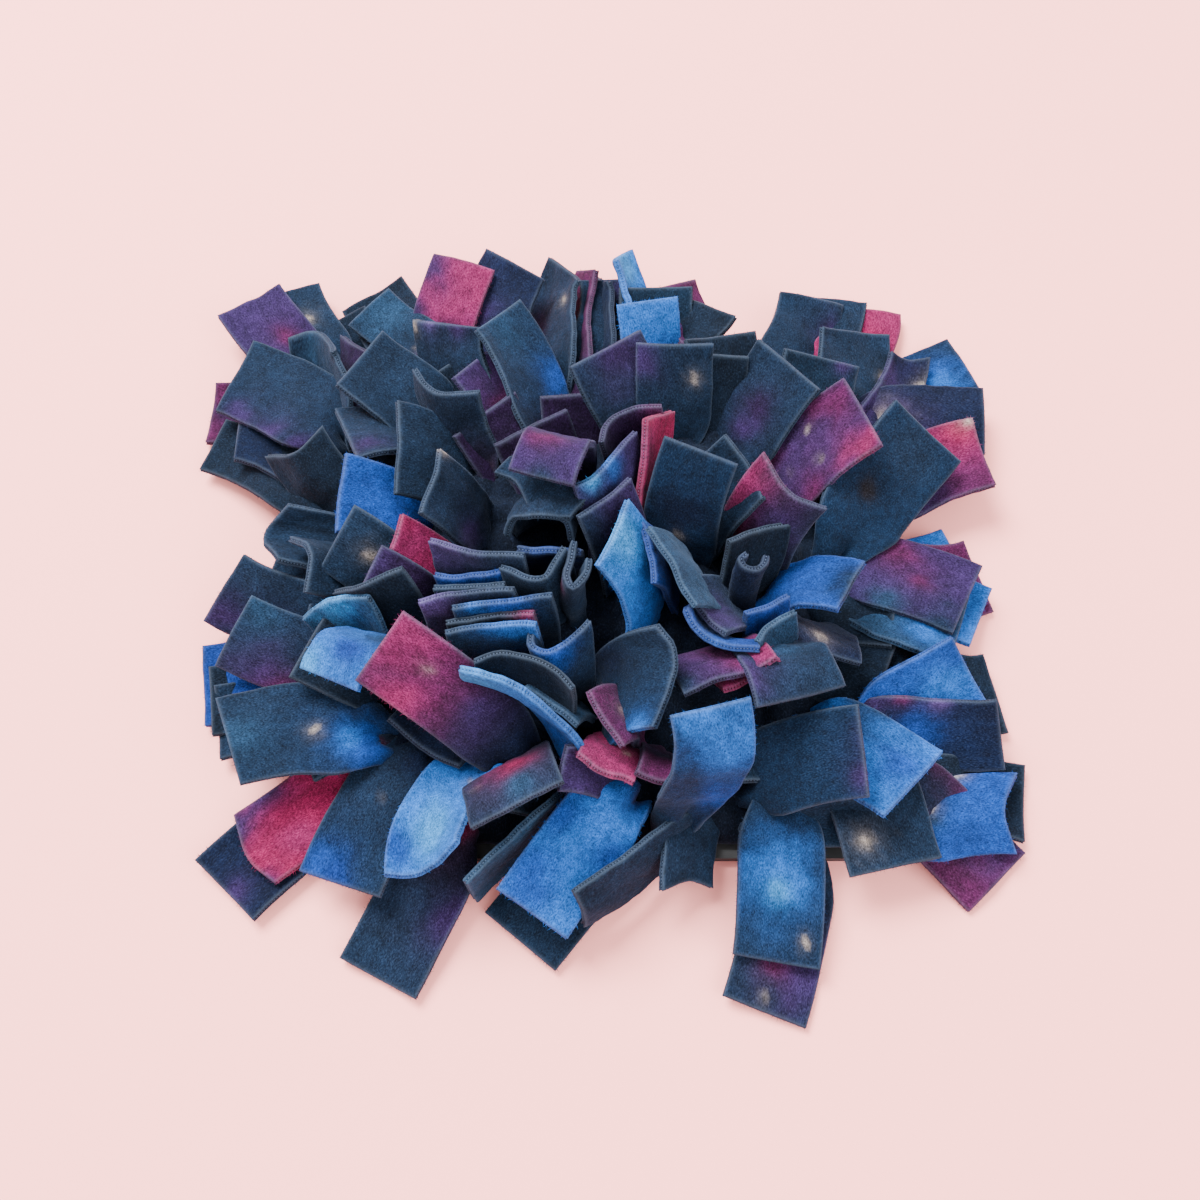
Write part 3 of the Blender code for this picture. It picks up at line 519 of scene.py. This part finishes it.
def strip_middle(row, rng):
    """Coarse middle surface of a strip, (sections, points across, xyz), from knot to free end."""
    name, ax, ay, ra, bx, by, rb, bear, tilt, run, *via = row
    a = corner(ax, ay, ra)
    b = corner(bx, by, rb)
    end = smooth_end([a] + [corner(*v) for v in via] + [b], COARSE_WIDE)
    mid = (a + b) / 2
    wide = np.linalg.norm(b - a)
    side = (b - a) / wide
    point = np.array([cos(radians(bear)) * cos(radians(tilt)),
                      sin(radians(bear)) * cos(radians(tilt)), sin(radians(tilt))])
    point = unit(point - point.dot(side) * side)
    turn = radians(bear - TURNS.get(name, 0))
    flat = np.array([cos(turn), sin(turn), 0.0])
    root = mid - run * flat
    root[0] = np.clip(root[0], -ROOT_X, ROOT_X)
    root[1] = np.clip(root[1], -ROOT_Y, ROOT_Y)
    root[2] = ROOT_Z
    chord = np.linalg.norm(mid - root)
    rise = ROOT_RISE * ARCH.get(name, 1.0)
    p1 = root + (ROOT_LEAN * flat + np.array([0, 0, rise])) * ROOT_PULL * chord
    p2 = mid - point * END_PULL * chord
    s = np.linspace(0, 1, COARSE_LONG + 1)[:, None]
    centre = (1 - s) ** 3 * root + 3 * (1 - s) ** 2 * s * p1 + 3 * (1 - s) * s * s * p2 + s ** 3 * mid
    along = 3 * (1 - s) ** 2 * (p1 - root) + 6 * (1 - s) * s * (p2 - p1) + 3 * s * s * (mid - p2)
    along = unit(along)
    across = np.zeros_like(centre)
    across[-1] = side
    for i in range(COARSE_LONG - 1, -1, -1):
        across[i] = unit(across[i + 1] - across[i + 1].dot(along[i]) * along[i])
    normal = np.cross(along, across)
    u = np.linspace(-0.5, 0.5, COARSE_WIDE)
    off = end - (mid + u[:, None] * (b - a))
    off_side = off @ side
    off_along = off @ along[-1]
    off_normal = off @ normal[-1]
    gather = ease(s / GATHER_END)
    width = KNOT_WIDTH + (wide - KNOT_WIDTH) * gather
    # near the knot the strip is drawn into pleats, and towards its end it cups a little
    fold = np.cos(2 * pi * PLEATS * u + rng.uniform(0, 6))
    pleat = PLEAT_HIGH * (1 - gather) * fold * ease(s / PLEAT_START)
    cup = rng.uniform(*CUP) * (4 * u * u - 0.35) * ease(s)
    sag = rng.uniform(-SAG, SAG) * np.sin(pi * s) ** 2 * (1 + rng.uniform(-1.0, 1.0) * 2 * u)
    lift = pleat + cup + sag + s * off_normal
    return (centre[:, None] + (u * width + s * off_side * width / wide)[..., None] * across[:, None]
            + (s * s * off_along)[..., None] * along[:, None] + lift[..., None] * normal[:, None])


def lower_row(x, y, bear, tilt):
    """The row of a plain strip of the lower layer, from the middle and bearing of its free end."""
    sx = sin(radians(bear)) * LOWER_WIDE / 2
    sy = -cos(radians(bear)) * LOWER_WIDE / 2
    ends = (x + sx, y + sy, LOWER_RISE, x - sx, y - sy, LOWER_RISE)
    return ("lower", *ends, bear, tilt, LOWER_RUN)


def bed_middle():
    """Middle surface of the cloth of the knots: swollen over each knot, sunk between them."""
    nx, ny = BED_CELLS
    grid = np.zeros((ny + 1, nx + 1, 3))
    for j in range(ny + 1):
        for i in range(nx + 1):
            x = (i / nx - 0.5) * BED_W
            y = (j / ny - 0.5) * BED_D
            rim = min(BED_W / 2 - abs(x), BED_D / 2 - abs(y))
            row = round(y / KNOT_PITCH)
            shift = 0.5 * (row % 2)
            off = x - (round(x / KNOT_PITCH - shift) + shift) * KNOT_PITCH
            swell = KNOT_RISE * cos(pi * off / KNOT_PITCH) * cos(pi * (y / KNOT_PITCH - row))
            z = max(MAT_T + BED_T, crown(x, y) - BED_UNDER) + swell
            grid[j, i] = x, y, max(MAT_T + BED_LEAST, z - BED_DROP * max(0.0, 1 - rim / BED_RIM))
    return grid


def surface_normals(grid):
    """Normals of a grid of points (..., sections, across, 3)."""
    along = np.gradient(grid, axis=-3)
    across = np.gradient(grid, axis=-2)
    return unit(np.cross(along, across))


# ---------------------------------------------------------------- settling
def near_pairs(points, reach):
    """Index pairs of points in the same or in neighbouring cells of a grid. They hold every
    pair closer than reach, and some that are farther apart."""
    cell = np.floor(points / reach).astype(np.int64) + CELLS // 2
    key = (cell[:, 0] * CELLS + cell[:, 1]) * CELLS + cell[:, 2]
    order = np.argsort(key, kind="stable")
    sorted_key = key[order]
    found_a, found_b = [], []
    for dx, dy, dz in product((-1, 0, 1), repeat=3):
        shift = (dx * CELLS + dy) * CELLS + dz
        if shift < 0:
            continue
        low = np.searchsorted(sorted_key, key + shift, "left")
        high = np.searchsorted(sorted_key, key + shift, "right")
        count = high - low
        a = np.repeat(np.arange(len(points)), count)
        start = np.repeat(low - np.concatenate([[0], np.cumsum(count)[:-1]]), count)
        b = order[np.arange(len(a)) + start]
        keep = (a < b) if shift == 0 else (a != b)
        found_a.append(a[keep])
        found_b.append(b[keep])
    return np.concatenate(found_a), np.concatenate(found_b)


def settle(grids):
    """Pushes the strips apart where they lie in each other. grids is (strips, sections, across,
    3). Each strip is drawn back to its own size and to its start, most of all at its knot. They
    are lifted off the floor but not off the rubber, and not every crossing is undone."""
    start = grids.copy()
    count, sections, wide = grids.shape[:3]
    owner = np.repeat(np.arange(count), sections * wide)
    long_rest = np.linalg.norm(np.diff(grids, axis=1), axis=-1)
    wide_rest = np.linalg.norm(np.diff(grids, axis=2), axis=-1)
    hold = np.linspace(0, 1, sections)[None, :, None, None]
    hold = HOLD_LEAST + HOLD_END * hold ** 2
    hold[:, :2] = 1.0
    for step in range(SETTLE_ROUNDS):
        points = grids.reshape(-1, 3)
        normal = surface_normals(grids).reshape(-1, 3)
        if step % PAIR_ROUNDS == 0:
            pair_a, pair_b = near_pairs(points, PAIR_REACH)
            other = owner[pair_a] != owner[pair_b]
            pair_a, pair_b = pair_a[other], pair_b[other]
        gap = points[pair_a] - points[pair_b]
        same_way = np.sign(np.sum(normal[pair_a] * normal[pair_b], axis=1))[:, None]
        facing = unit(normal[pair_a] * same_way + normal[pair_b])
        high = np.sum(gap * facing, axis=1)
        flat = np.linalg.norm(gap - high[:, None] * facing, axis=1)
        push = np.clip(SPACING - np.abs(high), 0, None) * np.clip(PUSH_END - flat / PUSH_FADE, 0, 1)
        move = 0.5 * (push * np.where(high >= 0, 1.0, -1.0))[:, None] * facing
        total = np.zeros_like(points)
        hits = np.full(len(points), 1e-6)
        for ids, sign in ((pair_a, 1.0), (pair_b, -1.0)):
            for axis in range(3):
                total[:, axis] += np.bincount(ids, sign * move[:, axis], len(points))
            hits += np.bincount(ids, push > 0, len(points))
        total /= np.maximum(hits, 1.0)[:, None]
        grids = grids + PUSH_SHARE * total.reshape(grids.shape)
        grids[..., 2] = np.maximum(grids[..., 2], FLOOR_MID)
        for inner in range(SIZE_ROUNDS):
            for axis, rest in ((1, long_rest), (2, wide_rest)):
                apart = np.diff(grids, axis=axis)
                size = np.linalg.norm(apart, axis=-1)
                fix = SIZE_SHARE * ((size - rest) / np.maximum(size, 1e-6))[..., None] * apart
                if axis == 1:
                    grids[:, :-1] += fix
                    grids[:, 1:] -= fix
                else:
                    grids[:, :, :-1] += fix
                    grids[:, :, 1:] -= fix
            # bending: the change from the start shape is smoothed
            change = grids - start
            blur = change.copy()
            blur[:, 1:-1] = 0.5 * change[:, 1:-1] + 0.25 * (change[:, :-2] + change[:, 2:])
            blur[:, :, 1:-1] = 0.5 * blur[:, :, 1:-1] + 0.25 * (blur[:, :, :-2] + blur[:, :, 2:])
            grids = start + change + 0.5 * (blur - change)
        grids = grids + hold * 0.5 * (start - grids)
    return grids


# ---------------------------------------------------------------- cloth shells
# A piece of cloth: its mesh, what each vertex carries, its two areas, and the
# vertices round the rim of its top and of its low side. edge holds 1 in the
# groove (the mask of its painted shade), the distance round the rim, and 1 at the
# cut falling to 0 inwards (the mask of the painted highlight on the lips).
Shell = namedtuple("Shell", "verts faces dye cloth edge flat_area true_area top_ring low_ring",
                   defaults=(0.0, 0.0, None, None))


def waves(rng, p, pitch, count=5):
    """A smooth bumpy value, mostly from -1 to 1, over flat places p (..., 2), about pitch mm apart."""
    total = 0.0
    for k in range(count):
        way = rng.uniform(0, 2 * pi)
        length = pitch * rng.uniform(0.7, 1.5)
        total = total + np.sin((p[..., 0] * cos(way) + p[..., 1] * sin(way)) * 2 * pi / length
                               + rng.uniform(0, 6.3))
    return total / count * 1.6


def layered(rng, place, layers, start=0.0):
    """start and waves of several pitches added up."""
    return sum((height * waves(rng, place, pitch) for pitch, height in layers), start)


def even_places(length, inner):
    """Places from 0 to length: close together at the rims for the rounded edge."""
    middle = np.linspace(RIM[-1], length - RIM[-1], inner)
    return np.concatenate([RIM[:-1], middle, length - np.array(RIM[:-1])[::-1]])


def dye_cloth(rng, recipe, u, s, across_mm, along_mm):
    """Colour of the cloth at each place: a ground, clouds of dye with ragged borders, stars."""
    ground, clouds, *stars = recipe
    place = np.stack([across_mm, along_mm], -1) + rng.uniform(0, 500)
    width = across_mm.max() - across_mm.min()
    length = along_mm.max()
    ragged = layered(rng, place, RAGGED)
    mottle = layered(rng, place, MOTTLE, 1.0)
    colour = np.ones(u.shape + (3,)) * np.array(COLOURS[ground])
    for name, cu, cs, radius in clouds:
        far = np.hypot((u - cu) * width, (s - cs) * length) + ragged * min(1.0, radius / CLOUD_CALM)
        share = 1.0 / (1.0 + np.clip(far / radius, 0, None) ** CLOUD_EDGE)
        colour = colour + (np.array(COLOURS[name]) - colour) * (CLOUD_SHARE * share)[..., None]
    colour = colour * mottle[..., None]
    for cu, cs, radius in stars:
        far = np.hypot((u - cu) * width, (s - cs) * length) * layered(rng, place, STAR_RAYS, 1.0)
        glow = sum(strong * np.exp(-(far / (broad * radius)) ** 2) for strong, broad in STAR_GLOW)
        colour = colour + (np.array(COLOURS["cream"]) - colour) * glow[..., None]
    return colour


def shell_arrays(grid, recipe, rng, fine):
    """The Shell of one sheet from its middle surface, with the edges rounded and grooved."""
    sections, points = grid.shape[:2]
    length = np.linalg.norm(np.diff(grid.mean(1), axis=0), axis=1).sum()
    width = np.linalg.norm(np.diff(grid[-1], axis=0), axis=1).sum()
    along = even_places(length, fine[0])
    across = even_places(width, fine[1])
    read_along = catmull(sections, along / length)
    read_across = catmull(points, across / width)
    mid = np.einsum("as,suk,bu->abk", read_along, grid, read_across)
    normal = surface_normals(mid)
    across_mm, along_mm = np.meshgrid(across - width / 2, along)
    place = np.stack([across_mm, along_mm], -1)
    mid = mid + layered(rng, place, RUMPLE)[..., None] * normal
    inset = np.minimum(np.minimum(along_mm, length - along_mm),
                       np.minimum(across_mm + width / 2, width / 2 - across_mm))
    lip = LIP_LEAST + (1 - LIP_LEAST) * np.sqrt(1 - (1 - np.clip(inset / RIM[-1], 0, 1)) ** 2)
    lip = lip * (1 + LIP_BULGE * np.exp(-((inset - LIP_PLACE) / LIP_BROAD) ** 2))
    half = FLEECE / 2 * lip * layered(rng, place, THICKNESS, 1.0)
    top = mid + half[..., None] * normal
    low = mid - half[..., None] * normal
    low[..., 2] = np.maximum(low[..., 2], LOW_LEAST)
    top[..., 2] = np.maximum(top[..., 2], TOP_LEAST)

    rows_long, rows_wide = mid.shape[:2]
    one_side = rows_long * rows_wide
    ids = np.arange(one_side).reshape(rows_long, rows_wide)
    ring = np.concatenate([ids[0, :-1], ids[:-1, -1], ids[-1, :0:-1], ids[:0:-1, 0]])
    low_ring = ring + one_side
    groove = np.arange(len(ring)) + 2 * one_side
    flat_mid = mid.reshape(-1, 3)
    inward = unit(flat_mid[ids[rows_long // 2, rows_wide // 2]] - flat_mid[ring])
    verts = np.concatenate([top.reshape(-1, 3), low.reshape(-1, 3), flat_mid[ring] + GROOVE * inward])
    top_quads = np.stack([ids[:-1, :-1], ids[1:, :-1], ids[1:, 1:], ids[:-1, 1:]], -1).reshape(-1, 4)
    quads = [top_quads, top_quads[:, ::-1] + one_side]
    for first, second in ((ring, groove), (groove, low_ring)):
        quads.append(np.stack([first, second, np.roll(second, -1), np.roll(first, -1)], -1)[:, ::-1])

    colour = dye_cloth(rng, recipe, across_mm / width, along_mm / length, across_mm, along_mm)
    colour = colour.reshape(-1, 3)
    shift = rng.uniform(0, CLOTH_SPAN, 2)
    cloth = np.stack([across_mm.ravel() + shift[0], along_mm.ravel() + shift[1]], -1)
    run = np.concatenate([[0], np.cumsum(np.linalg.norm(np.diff(flat_mid[ring], axis=0), axis=1))])
    edge = np.zeros((len(verts), 3))
    # mask of the painted shade in the groove
    edge[groove, 0] = 1.0
    # mask of the painted highlight on the lips, 1 at the cut
    edge[:2 * one_side, 2] = np.tile(np.exp(-(inset.ravel() / HIGHLIGHT_REACH) ** 2), 2)
    for rim in (ring, low_ring, groove):
        edge[rim, 1] = run
    steps_long = np.diff(mid[:, :-1], axis=0)
    steps_wide = np.diff(mid[:-1], axis=1)
    true_area = np.linalg.norm(np.cross(steps_long, steps_wide), axis=-1).sum()
    return Shell(verts, np.concatenate(quads), np.concatenate([colour, colour, colour[ring]]),
                 np.concatenate([cloth, cloth, cloth[ring]]), edge, width * length, true_area,
                 ring, low_ring)


def fuzz_arrays(shell, index):
    """Loose fibres that stand out of the cut edges of a strip, one thin triangle each."""
    rng = np.random.default_rng(FUZZ_SEED + index)
    top = shell.verts[shell.top_ring]
    low = shell.verts[shell.low_ring]
    step = np.linalg.norm(np.roll(top, -1, 0) - top, axis=1)
    run = np.concatenate([[0], np.cumsum(step)])
    count = int(run[-1] / FUZZ_STEP)
    where = rng.uniform(0, run[-1], count)
    side = rng.uniform(0, 1, count)[:, None]
    at = np.clip(np.searchsorted(run, where) - 1, 0, len(step) - 1)
    after = (at + 1) % len(step)
    part = ((where - run[at]) / np.maximum(step[at], 1e-6))[:, None]
    edge_top = top[at] * (1 - part) + top[after] * part
    edge_low = low[at] * (1 - part) + low[after] * part
    root = edge_top * side + edge_low * (1 - side)
    along = unit(top[after] - top[at])
    up = unit(edge_top - edge_low)
    out = np.cross(along, up)
    away = root - shell.verts.mean(0)
    out = out * np.sign(np.sum(out * away, axis=1))[:, None]
    lean = unit(out + along * rng.normal(0, 0.7, (count, 1)) + up * rng.normal(0, 0.6, (count, 1)))
    long = rng.uniform(*FUZZ_LONG, (count, 1)) * rng.uniform(0.5, 1.0, (count, 1))
    tip = root + lean * long
    tip[:, 2] = np.maximum(tip[:, 2], FUZZ_LEAST)
    wide = unit(np.cross(lean, up)) * rng.uniform(*FUZZ_WIDE, (count, 1))
    foot = root - FUZZ_SUNK * lean
    verts = np.stack([foot - wide, foot + wide, tip], 1).reshape(-1, 3)
    faces = np.arange(count * 3).reshape(-1, 3)
    # the fibres are painted paler than the lip they stand from: a painted highlight, as on the lips
    paler = np.clip(shell.dye[shell.top_ring][at] * 1.5 + 0.004, 0, 1)
    return Shell(verts, faces, np.repeat(paler, 3, axis=0), np.repeat(root[:, :2], 3, axis=0),
                 np.zeros((count * 3, 3)))


# ---------------------------------------------------------------- materials
FLECK = (0.060, 0.075, 0.105, 1.0)
# painted highlight on the lips of a cut edge
LIP_HIGHLIGHT = (0.20, 0.26, 0.36, 1.0)
# painted shade in the groove of a cut edge
GROOVE_SHADE_TINT = (0.06, 0.07, 0.11, 1.0)
THREAD = (0.16, 0.21, 0.32, 1.0)
SHEEN = (0.22, 0.28, 0.42, 1.0)
RUBBER_DARK = (0.010, 0.011, 0.013, 1.0)
RUBBER_WORN = (0.022, 0.023, 0.026, 1.0)
PAPER = (1.0, 0.355, 0.335, 1.0)


def nodes_of(name):
    mat = bpy.data.materials.new(name)
    mat.use_nodes = True
    tree = mat.node_tree
    return mat, tree, tree.nodes["Principled BSDF"]


def fill(tree, socket, value):
    """Links another node's output to the socket, or writes a number or colour into it."""
    if isinstance(value, bpy.types.NodeSocket):
        tree.links.new(value, socket)
    else:
        socket.default_value = value


def fill_all(tree, node, **inputs):
    """Fills the inputs of a node by their names, in which _ stands for a space."""
    for key, value in inputs.items():
        fill(tree, node.inputs[key.replace("_", " ")], value)
    return node


def add_node(tree, kind, **inputs):
    return fill_all(tree, tree.nodes.new("ShaderNode" + kind), **inputs)


def attribute(tree, name, output):
    node = tree.nodes.new("ShaderNodeAttribute")
    node.attribute_name = name
    return node.outputs[output]


def noise(tree, vector, output="Fac", **inputs):
    return add_node(tree, "TexNoise", Vector=vector, **inputs).outputs[output]


def stretched(tree, vector, x, y):
    return add_node(tree, "Mapping", Vector=vector, Scale=(x, y, 1.0)).outputs[0]


def map_range(tree, value, low, high, to_low, to_high):
    return add_node(tree, "MapRange", Value=value, From_Min=low, From_Max=high,
                    To_Min=to_low, To_Max=to_high).outputs[0]


def bump(tree, height, strength, high_mm, **inputs):
    return add_node(tree, "Bump", Height=height, Strength=strength, Distance=high_mm * MM,
                    **inputs).outputs[0]


def maths(tree, operation, first, second=0.0):
    node = tree.nodes.new("ShaderNodeMath")
    node.operation = operation
    fill(tree, node.inputs[0], first)
    fill(tree, node.inputs[1], second)
    return node.outputs[0]


def mix_colour(tree, blend, share, first, second):
    node = tree.nodes.new("ShaderNodeMix")
    node.data_type = "RGBA"
    node.blend_type = blend
    # a Mix node's inputs 0, 6 and 7 and output 2 are those of its colour form
    fill(tree, node.inputs[0], share)
    fill(tree, node.inputs[6], first)
    fill(tree, node.inputs[7], second)
    return node.outputs[2]


def fleece_material():
    """Brushed pile over a knit core: short nap, clumps of pile and a stitched line in each cut edge,
    with a painted highlight on the edge's lips and painted shade in its groove.
    """
    mat, tree, skin = nodes_of("fleece")
    dye = attribute(tree, "dye", "Color")
    place = attribute(tree, "cloth", "Vector")
    edge = attribute(tree, "edge", "Vector")
    warp = noise(tree, place, "Color", Scale=0.5, Detail=1.0)
    bent = mix_colour(tree, "LINEAR_LIGHT", 0.55, place, warp)
    nap = noise(tree, stretched(tree, bent, 2.3, 1.3), Scale=1.0, Detail=3.0, Roughness=0.7)
    clump = noise(tree, stretched(tree, bent, 1.0, 0.7), Scale=0.36, Detail=3.0, Roughness=0.6)
    shade = maths(tree, "MULTIPLY", map_range(tree, nap, 0.30, 0.70, 0.25, 1.90),
                  map_range(tree, clump, 0.30, 0.70, 0.68, 1.34))
    grey = add_node(tree, "CombineColor", Red=shade, Green=shade, Blue=shade)
    colour = mix_colour(tree, "MULTIPLY", 1.0, dye, grey.outputs[0])
    colour = mix_colour(tree, "MIX", map_range(tree, nap, 0.52, 0.74, 0.0, 0.14), colour, FLECK)
    groove, run, rim = add_node(tree, "SeparateXYZ", Vector=edge).outputs
    # the cut edge: a painted highlight on its two lips, painted shade along the groove between them,
    # and its row of stitches
    paler = mix_colour(tree, "MIX", 0.22, colour, LIP_HIGHLIGHT)
    colour = mix_colour(tree, "MIX", maths(tree, "MULTIPLY", rim, 0.40), colour, paler)
    # painted shade, strongest deep in the groove
    core = maths(tree, "MULTIPLY", maths(tree, "POWER", groove, 3.0), 0.90)
    colour = mix_colour(tree, "MULTIPLY", core, colour, GROOVE_SHADE_TINT)
    wave = maths(tree, "SINE", maths(tree, "MULTIPLY", run, 2 * pi / STITCH_PITCH))
    stitch = maths(tree, "MULTIPLY", maths(tree, "GREATER_THAN", wave, -0.1),
                   maths(tree, "GREATER_THAN", groove, 0.80))
    thread = mix_colour(tree, "MIX", 0.30, dye, THREAD)
    colour = mix_colour(tree, "MIX", maths(tree, "MULTIPLY", stitch, 0.8), colour, thread)
    normal = bump(tree, clump, 0.5, 0.9, Normal=bump(tree, nap, 0.55, 0.35))
    fill_all(tree, skin, Base_Color=colour, Roughness=0.92, Specular_IOR_Level=0.08,
             Sheen_Weight=0.12, Sheen_Roughness=0.4, Sheen_Tint=SHEEN, Normal=normal)
    return mat


def rubber_material():
    mat, tree, skin = nodes_of("rubber")
    coords = tree.nodes.new("ShaderNodeTexCoord").outputs["Object"]
    grain = noise(tree, coords, Scale=2600.0, Detail=3.0)
    wear = noise(tree, coords, Scale=60.0, Detail=4.0)
    rough = maths(tree, "ADD", maths(tree, "MULTIPLY", wear, 0.25), 0.5)
    fill_all(tree, skin, Base_Color=mix_colour(tree, "MIX", wear, RUBBER_DARK, RUBBER_WORN),
             Roughness=rough, Normal=bump(tree, grain, 0.35, 0.15))
    return mat


def paper_material():
    mat, tree, skin = nodes_of("paper")
    fill_all(tree, skin, Base_Color=PAPER, Roughness=0.9)
    return mat


# ---------------------------------------------------------------- pieces
def cloth_piece(name, shells, material):
    """One mesh of several shells, in metres, with what their vertices carry."""
    base = 0
    verts, faces = [], []
    for shell in shells:
        verts.append(shell.verts)
        faces.append(shell.faces + base)
        base += len(shell.verts)
    verts = np.concatenate(verts) * MM
    faces = np.concatenate(faces)
    me = bpy.data.meshes.new(name)
    me.vertices.add(len(verts))
    me.vertices.foreach_set("co", verts.ravel())
    me.loops.add(faces.size)
    me.loops.foreach_set("vertex_index", faces.ravel())
    me.polygons.add(len(faces))
    me.polygons.foreach_set("loop_start", np.arange(0, faces.size, faces.shape[1]))
    me.update(calc_edges=True)
    me.polygons.foreach_set("use_smooth", np.ones(len(faces), bool))
    dye = me.attributes.new("dye", "FLOAT_COLOR", "POINT")
    colours = np.concatenate([shell.dye for shell in shells])
    dye.data.foreach_set("color", np.concatenate([colours, np.ones((len(colours), 1))], 1).ravel())
    for key in ("cloth", "edge"):
        data = np.concatenate([getattr(shell, key) for shell in shells])
        if data.shape[1] == 2:
            data = np.concatenate([data, np.zeros((len(data), 1))], 1)
        layer = me.attributes.new(key, "FLOAT_VECTOR", "POINT")
        layer.data.foreach_set("vector", data.ravel())
    me.materials.append(material)
    ob = bpy.data.objects.new(name, me)
    bpy.context.scene.collection.objects.link(ob)
    return ob


rows = STRIPS + [lower_row(*place[:4]) for place in LOWER]
recipes = [DYES[row[0]] for row in STRIPS] + [(place[4], ()) for place in LOWER]
grids = [strip_middle(row, np.random.default_rng(SHAPE_SEED + k)) for k, row in enumerate(rows)]
grids = np.stack(grids)
grids = settle(grids)

fleece = fleece_material()
REGIONS = ["back_left", "back_right", "front_left", "front_right", "middle"]
groups = {name: [] for name in REGIONS}
shells = []
for k, (grid, recipe) in enumerate(zip(grids, recipes)):
    shell = shell_arrays(grid, recipe, np.random.default_rng(CLOTH_SEED + k), STRIP_FINE)
    x, y = grid[-1].mean(0)[:2]
    if max(abs(x), abs(y)) < MIDDLE_HALF:
        region = "middle"
    else:
        region = ("back" if y > 0 else "front") + ("_right" if x > 0 else "_left")
    groups[region].append(shell)
    shells.append(shell)

for region in REGIONS:
    piece = cloth_piece("strips_" + region, groups[region], fleece)
    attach(piece, "root")
    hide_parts("fleece_strips")

fuzz = cloth_piece("strip_fuzz", [fuzz_arrays(shell, k) for k, shell in enumerate(shells)], fleece)
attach(fuzz, "root")
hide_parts("fleece_strips")

shell = shell_arrays(bed_middle(), BED_DYE, np.random.default_rng(BED_SEED), BED_FINE)
bed = cloth_piece("strip_knots", [shell], fleece)
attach(bed, "root")
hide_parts("fleece_strips")

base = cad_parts["base_mat"]
base.data.materials.clear()
base.data.materials.append(rubber_material())

# ---------------------------------------------------------------- stage, metres and watts
FLOOR_SIZE = 6.0
LIGHT_AIM = (0, 0, 0.03)
#   name    place             size power
LIGHTS = [
    ("key", (-0.8, 0.9, 1.8), 1.1, 195),
    ("fill", (1.2, -1.0, 1.5), 1.6, 62),
]
STUDIO = (1.0, 0.95, 0.93, 1.0)
STUDIO_STRENGTH = 1.9


def aimed(place, target):
    """The rotation that points a light or camera at place towards target."""
    return (Vector(target) - Vector(place)).to_track_quat("-Z", "Y").to_euler()


def area_light(name, place, size, power):
    lamp = bpy.data.lights.new(name, "AREA")
    lamp.shape = "SQUARE"
    lamp.size = size
    lamp.energy = power
    ob = bpy.data.objects.new(name, lamp)
    ob.location = place
    ob.rotation_euler = aimed(place, LIGHT_AIM)
    bpy.context.scene.collection.objects.link(ob)


bpy.ops.mesh.primitive_plane_add(size=FLOOR_SIZE, location=(0, 0, 0))
floor = bpy.context.object
floor.name = "floor"
floor.data.materials.append(paper_material())

for light in LIGHTS:
    area_light(*light)
world = bpy.data.worlds.new("studio")
bpy.context.scene.world = world
world.use_nodes = True
fill_all(world.node_tree, world.node_tree.nodes["Background"], Color=STUDIO, Strength=STUDIO_STRENGTH)

camera = bpy.data.cameras.new("camera")
camera.lens = LENS
camera.sensor_width = SENSOR
eye = bpy.data.objects.new("camera", camera)
eye.location = Vector(EYE) * MM
eye.rotation_euler = aimed(EYE, AIM)
bpy.context.scene.collection.objects.link(eye)
bpy.context.scene.camera = eye
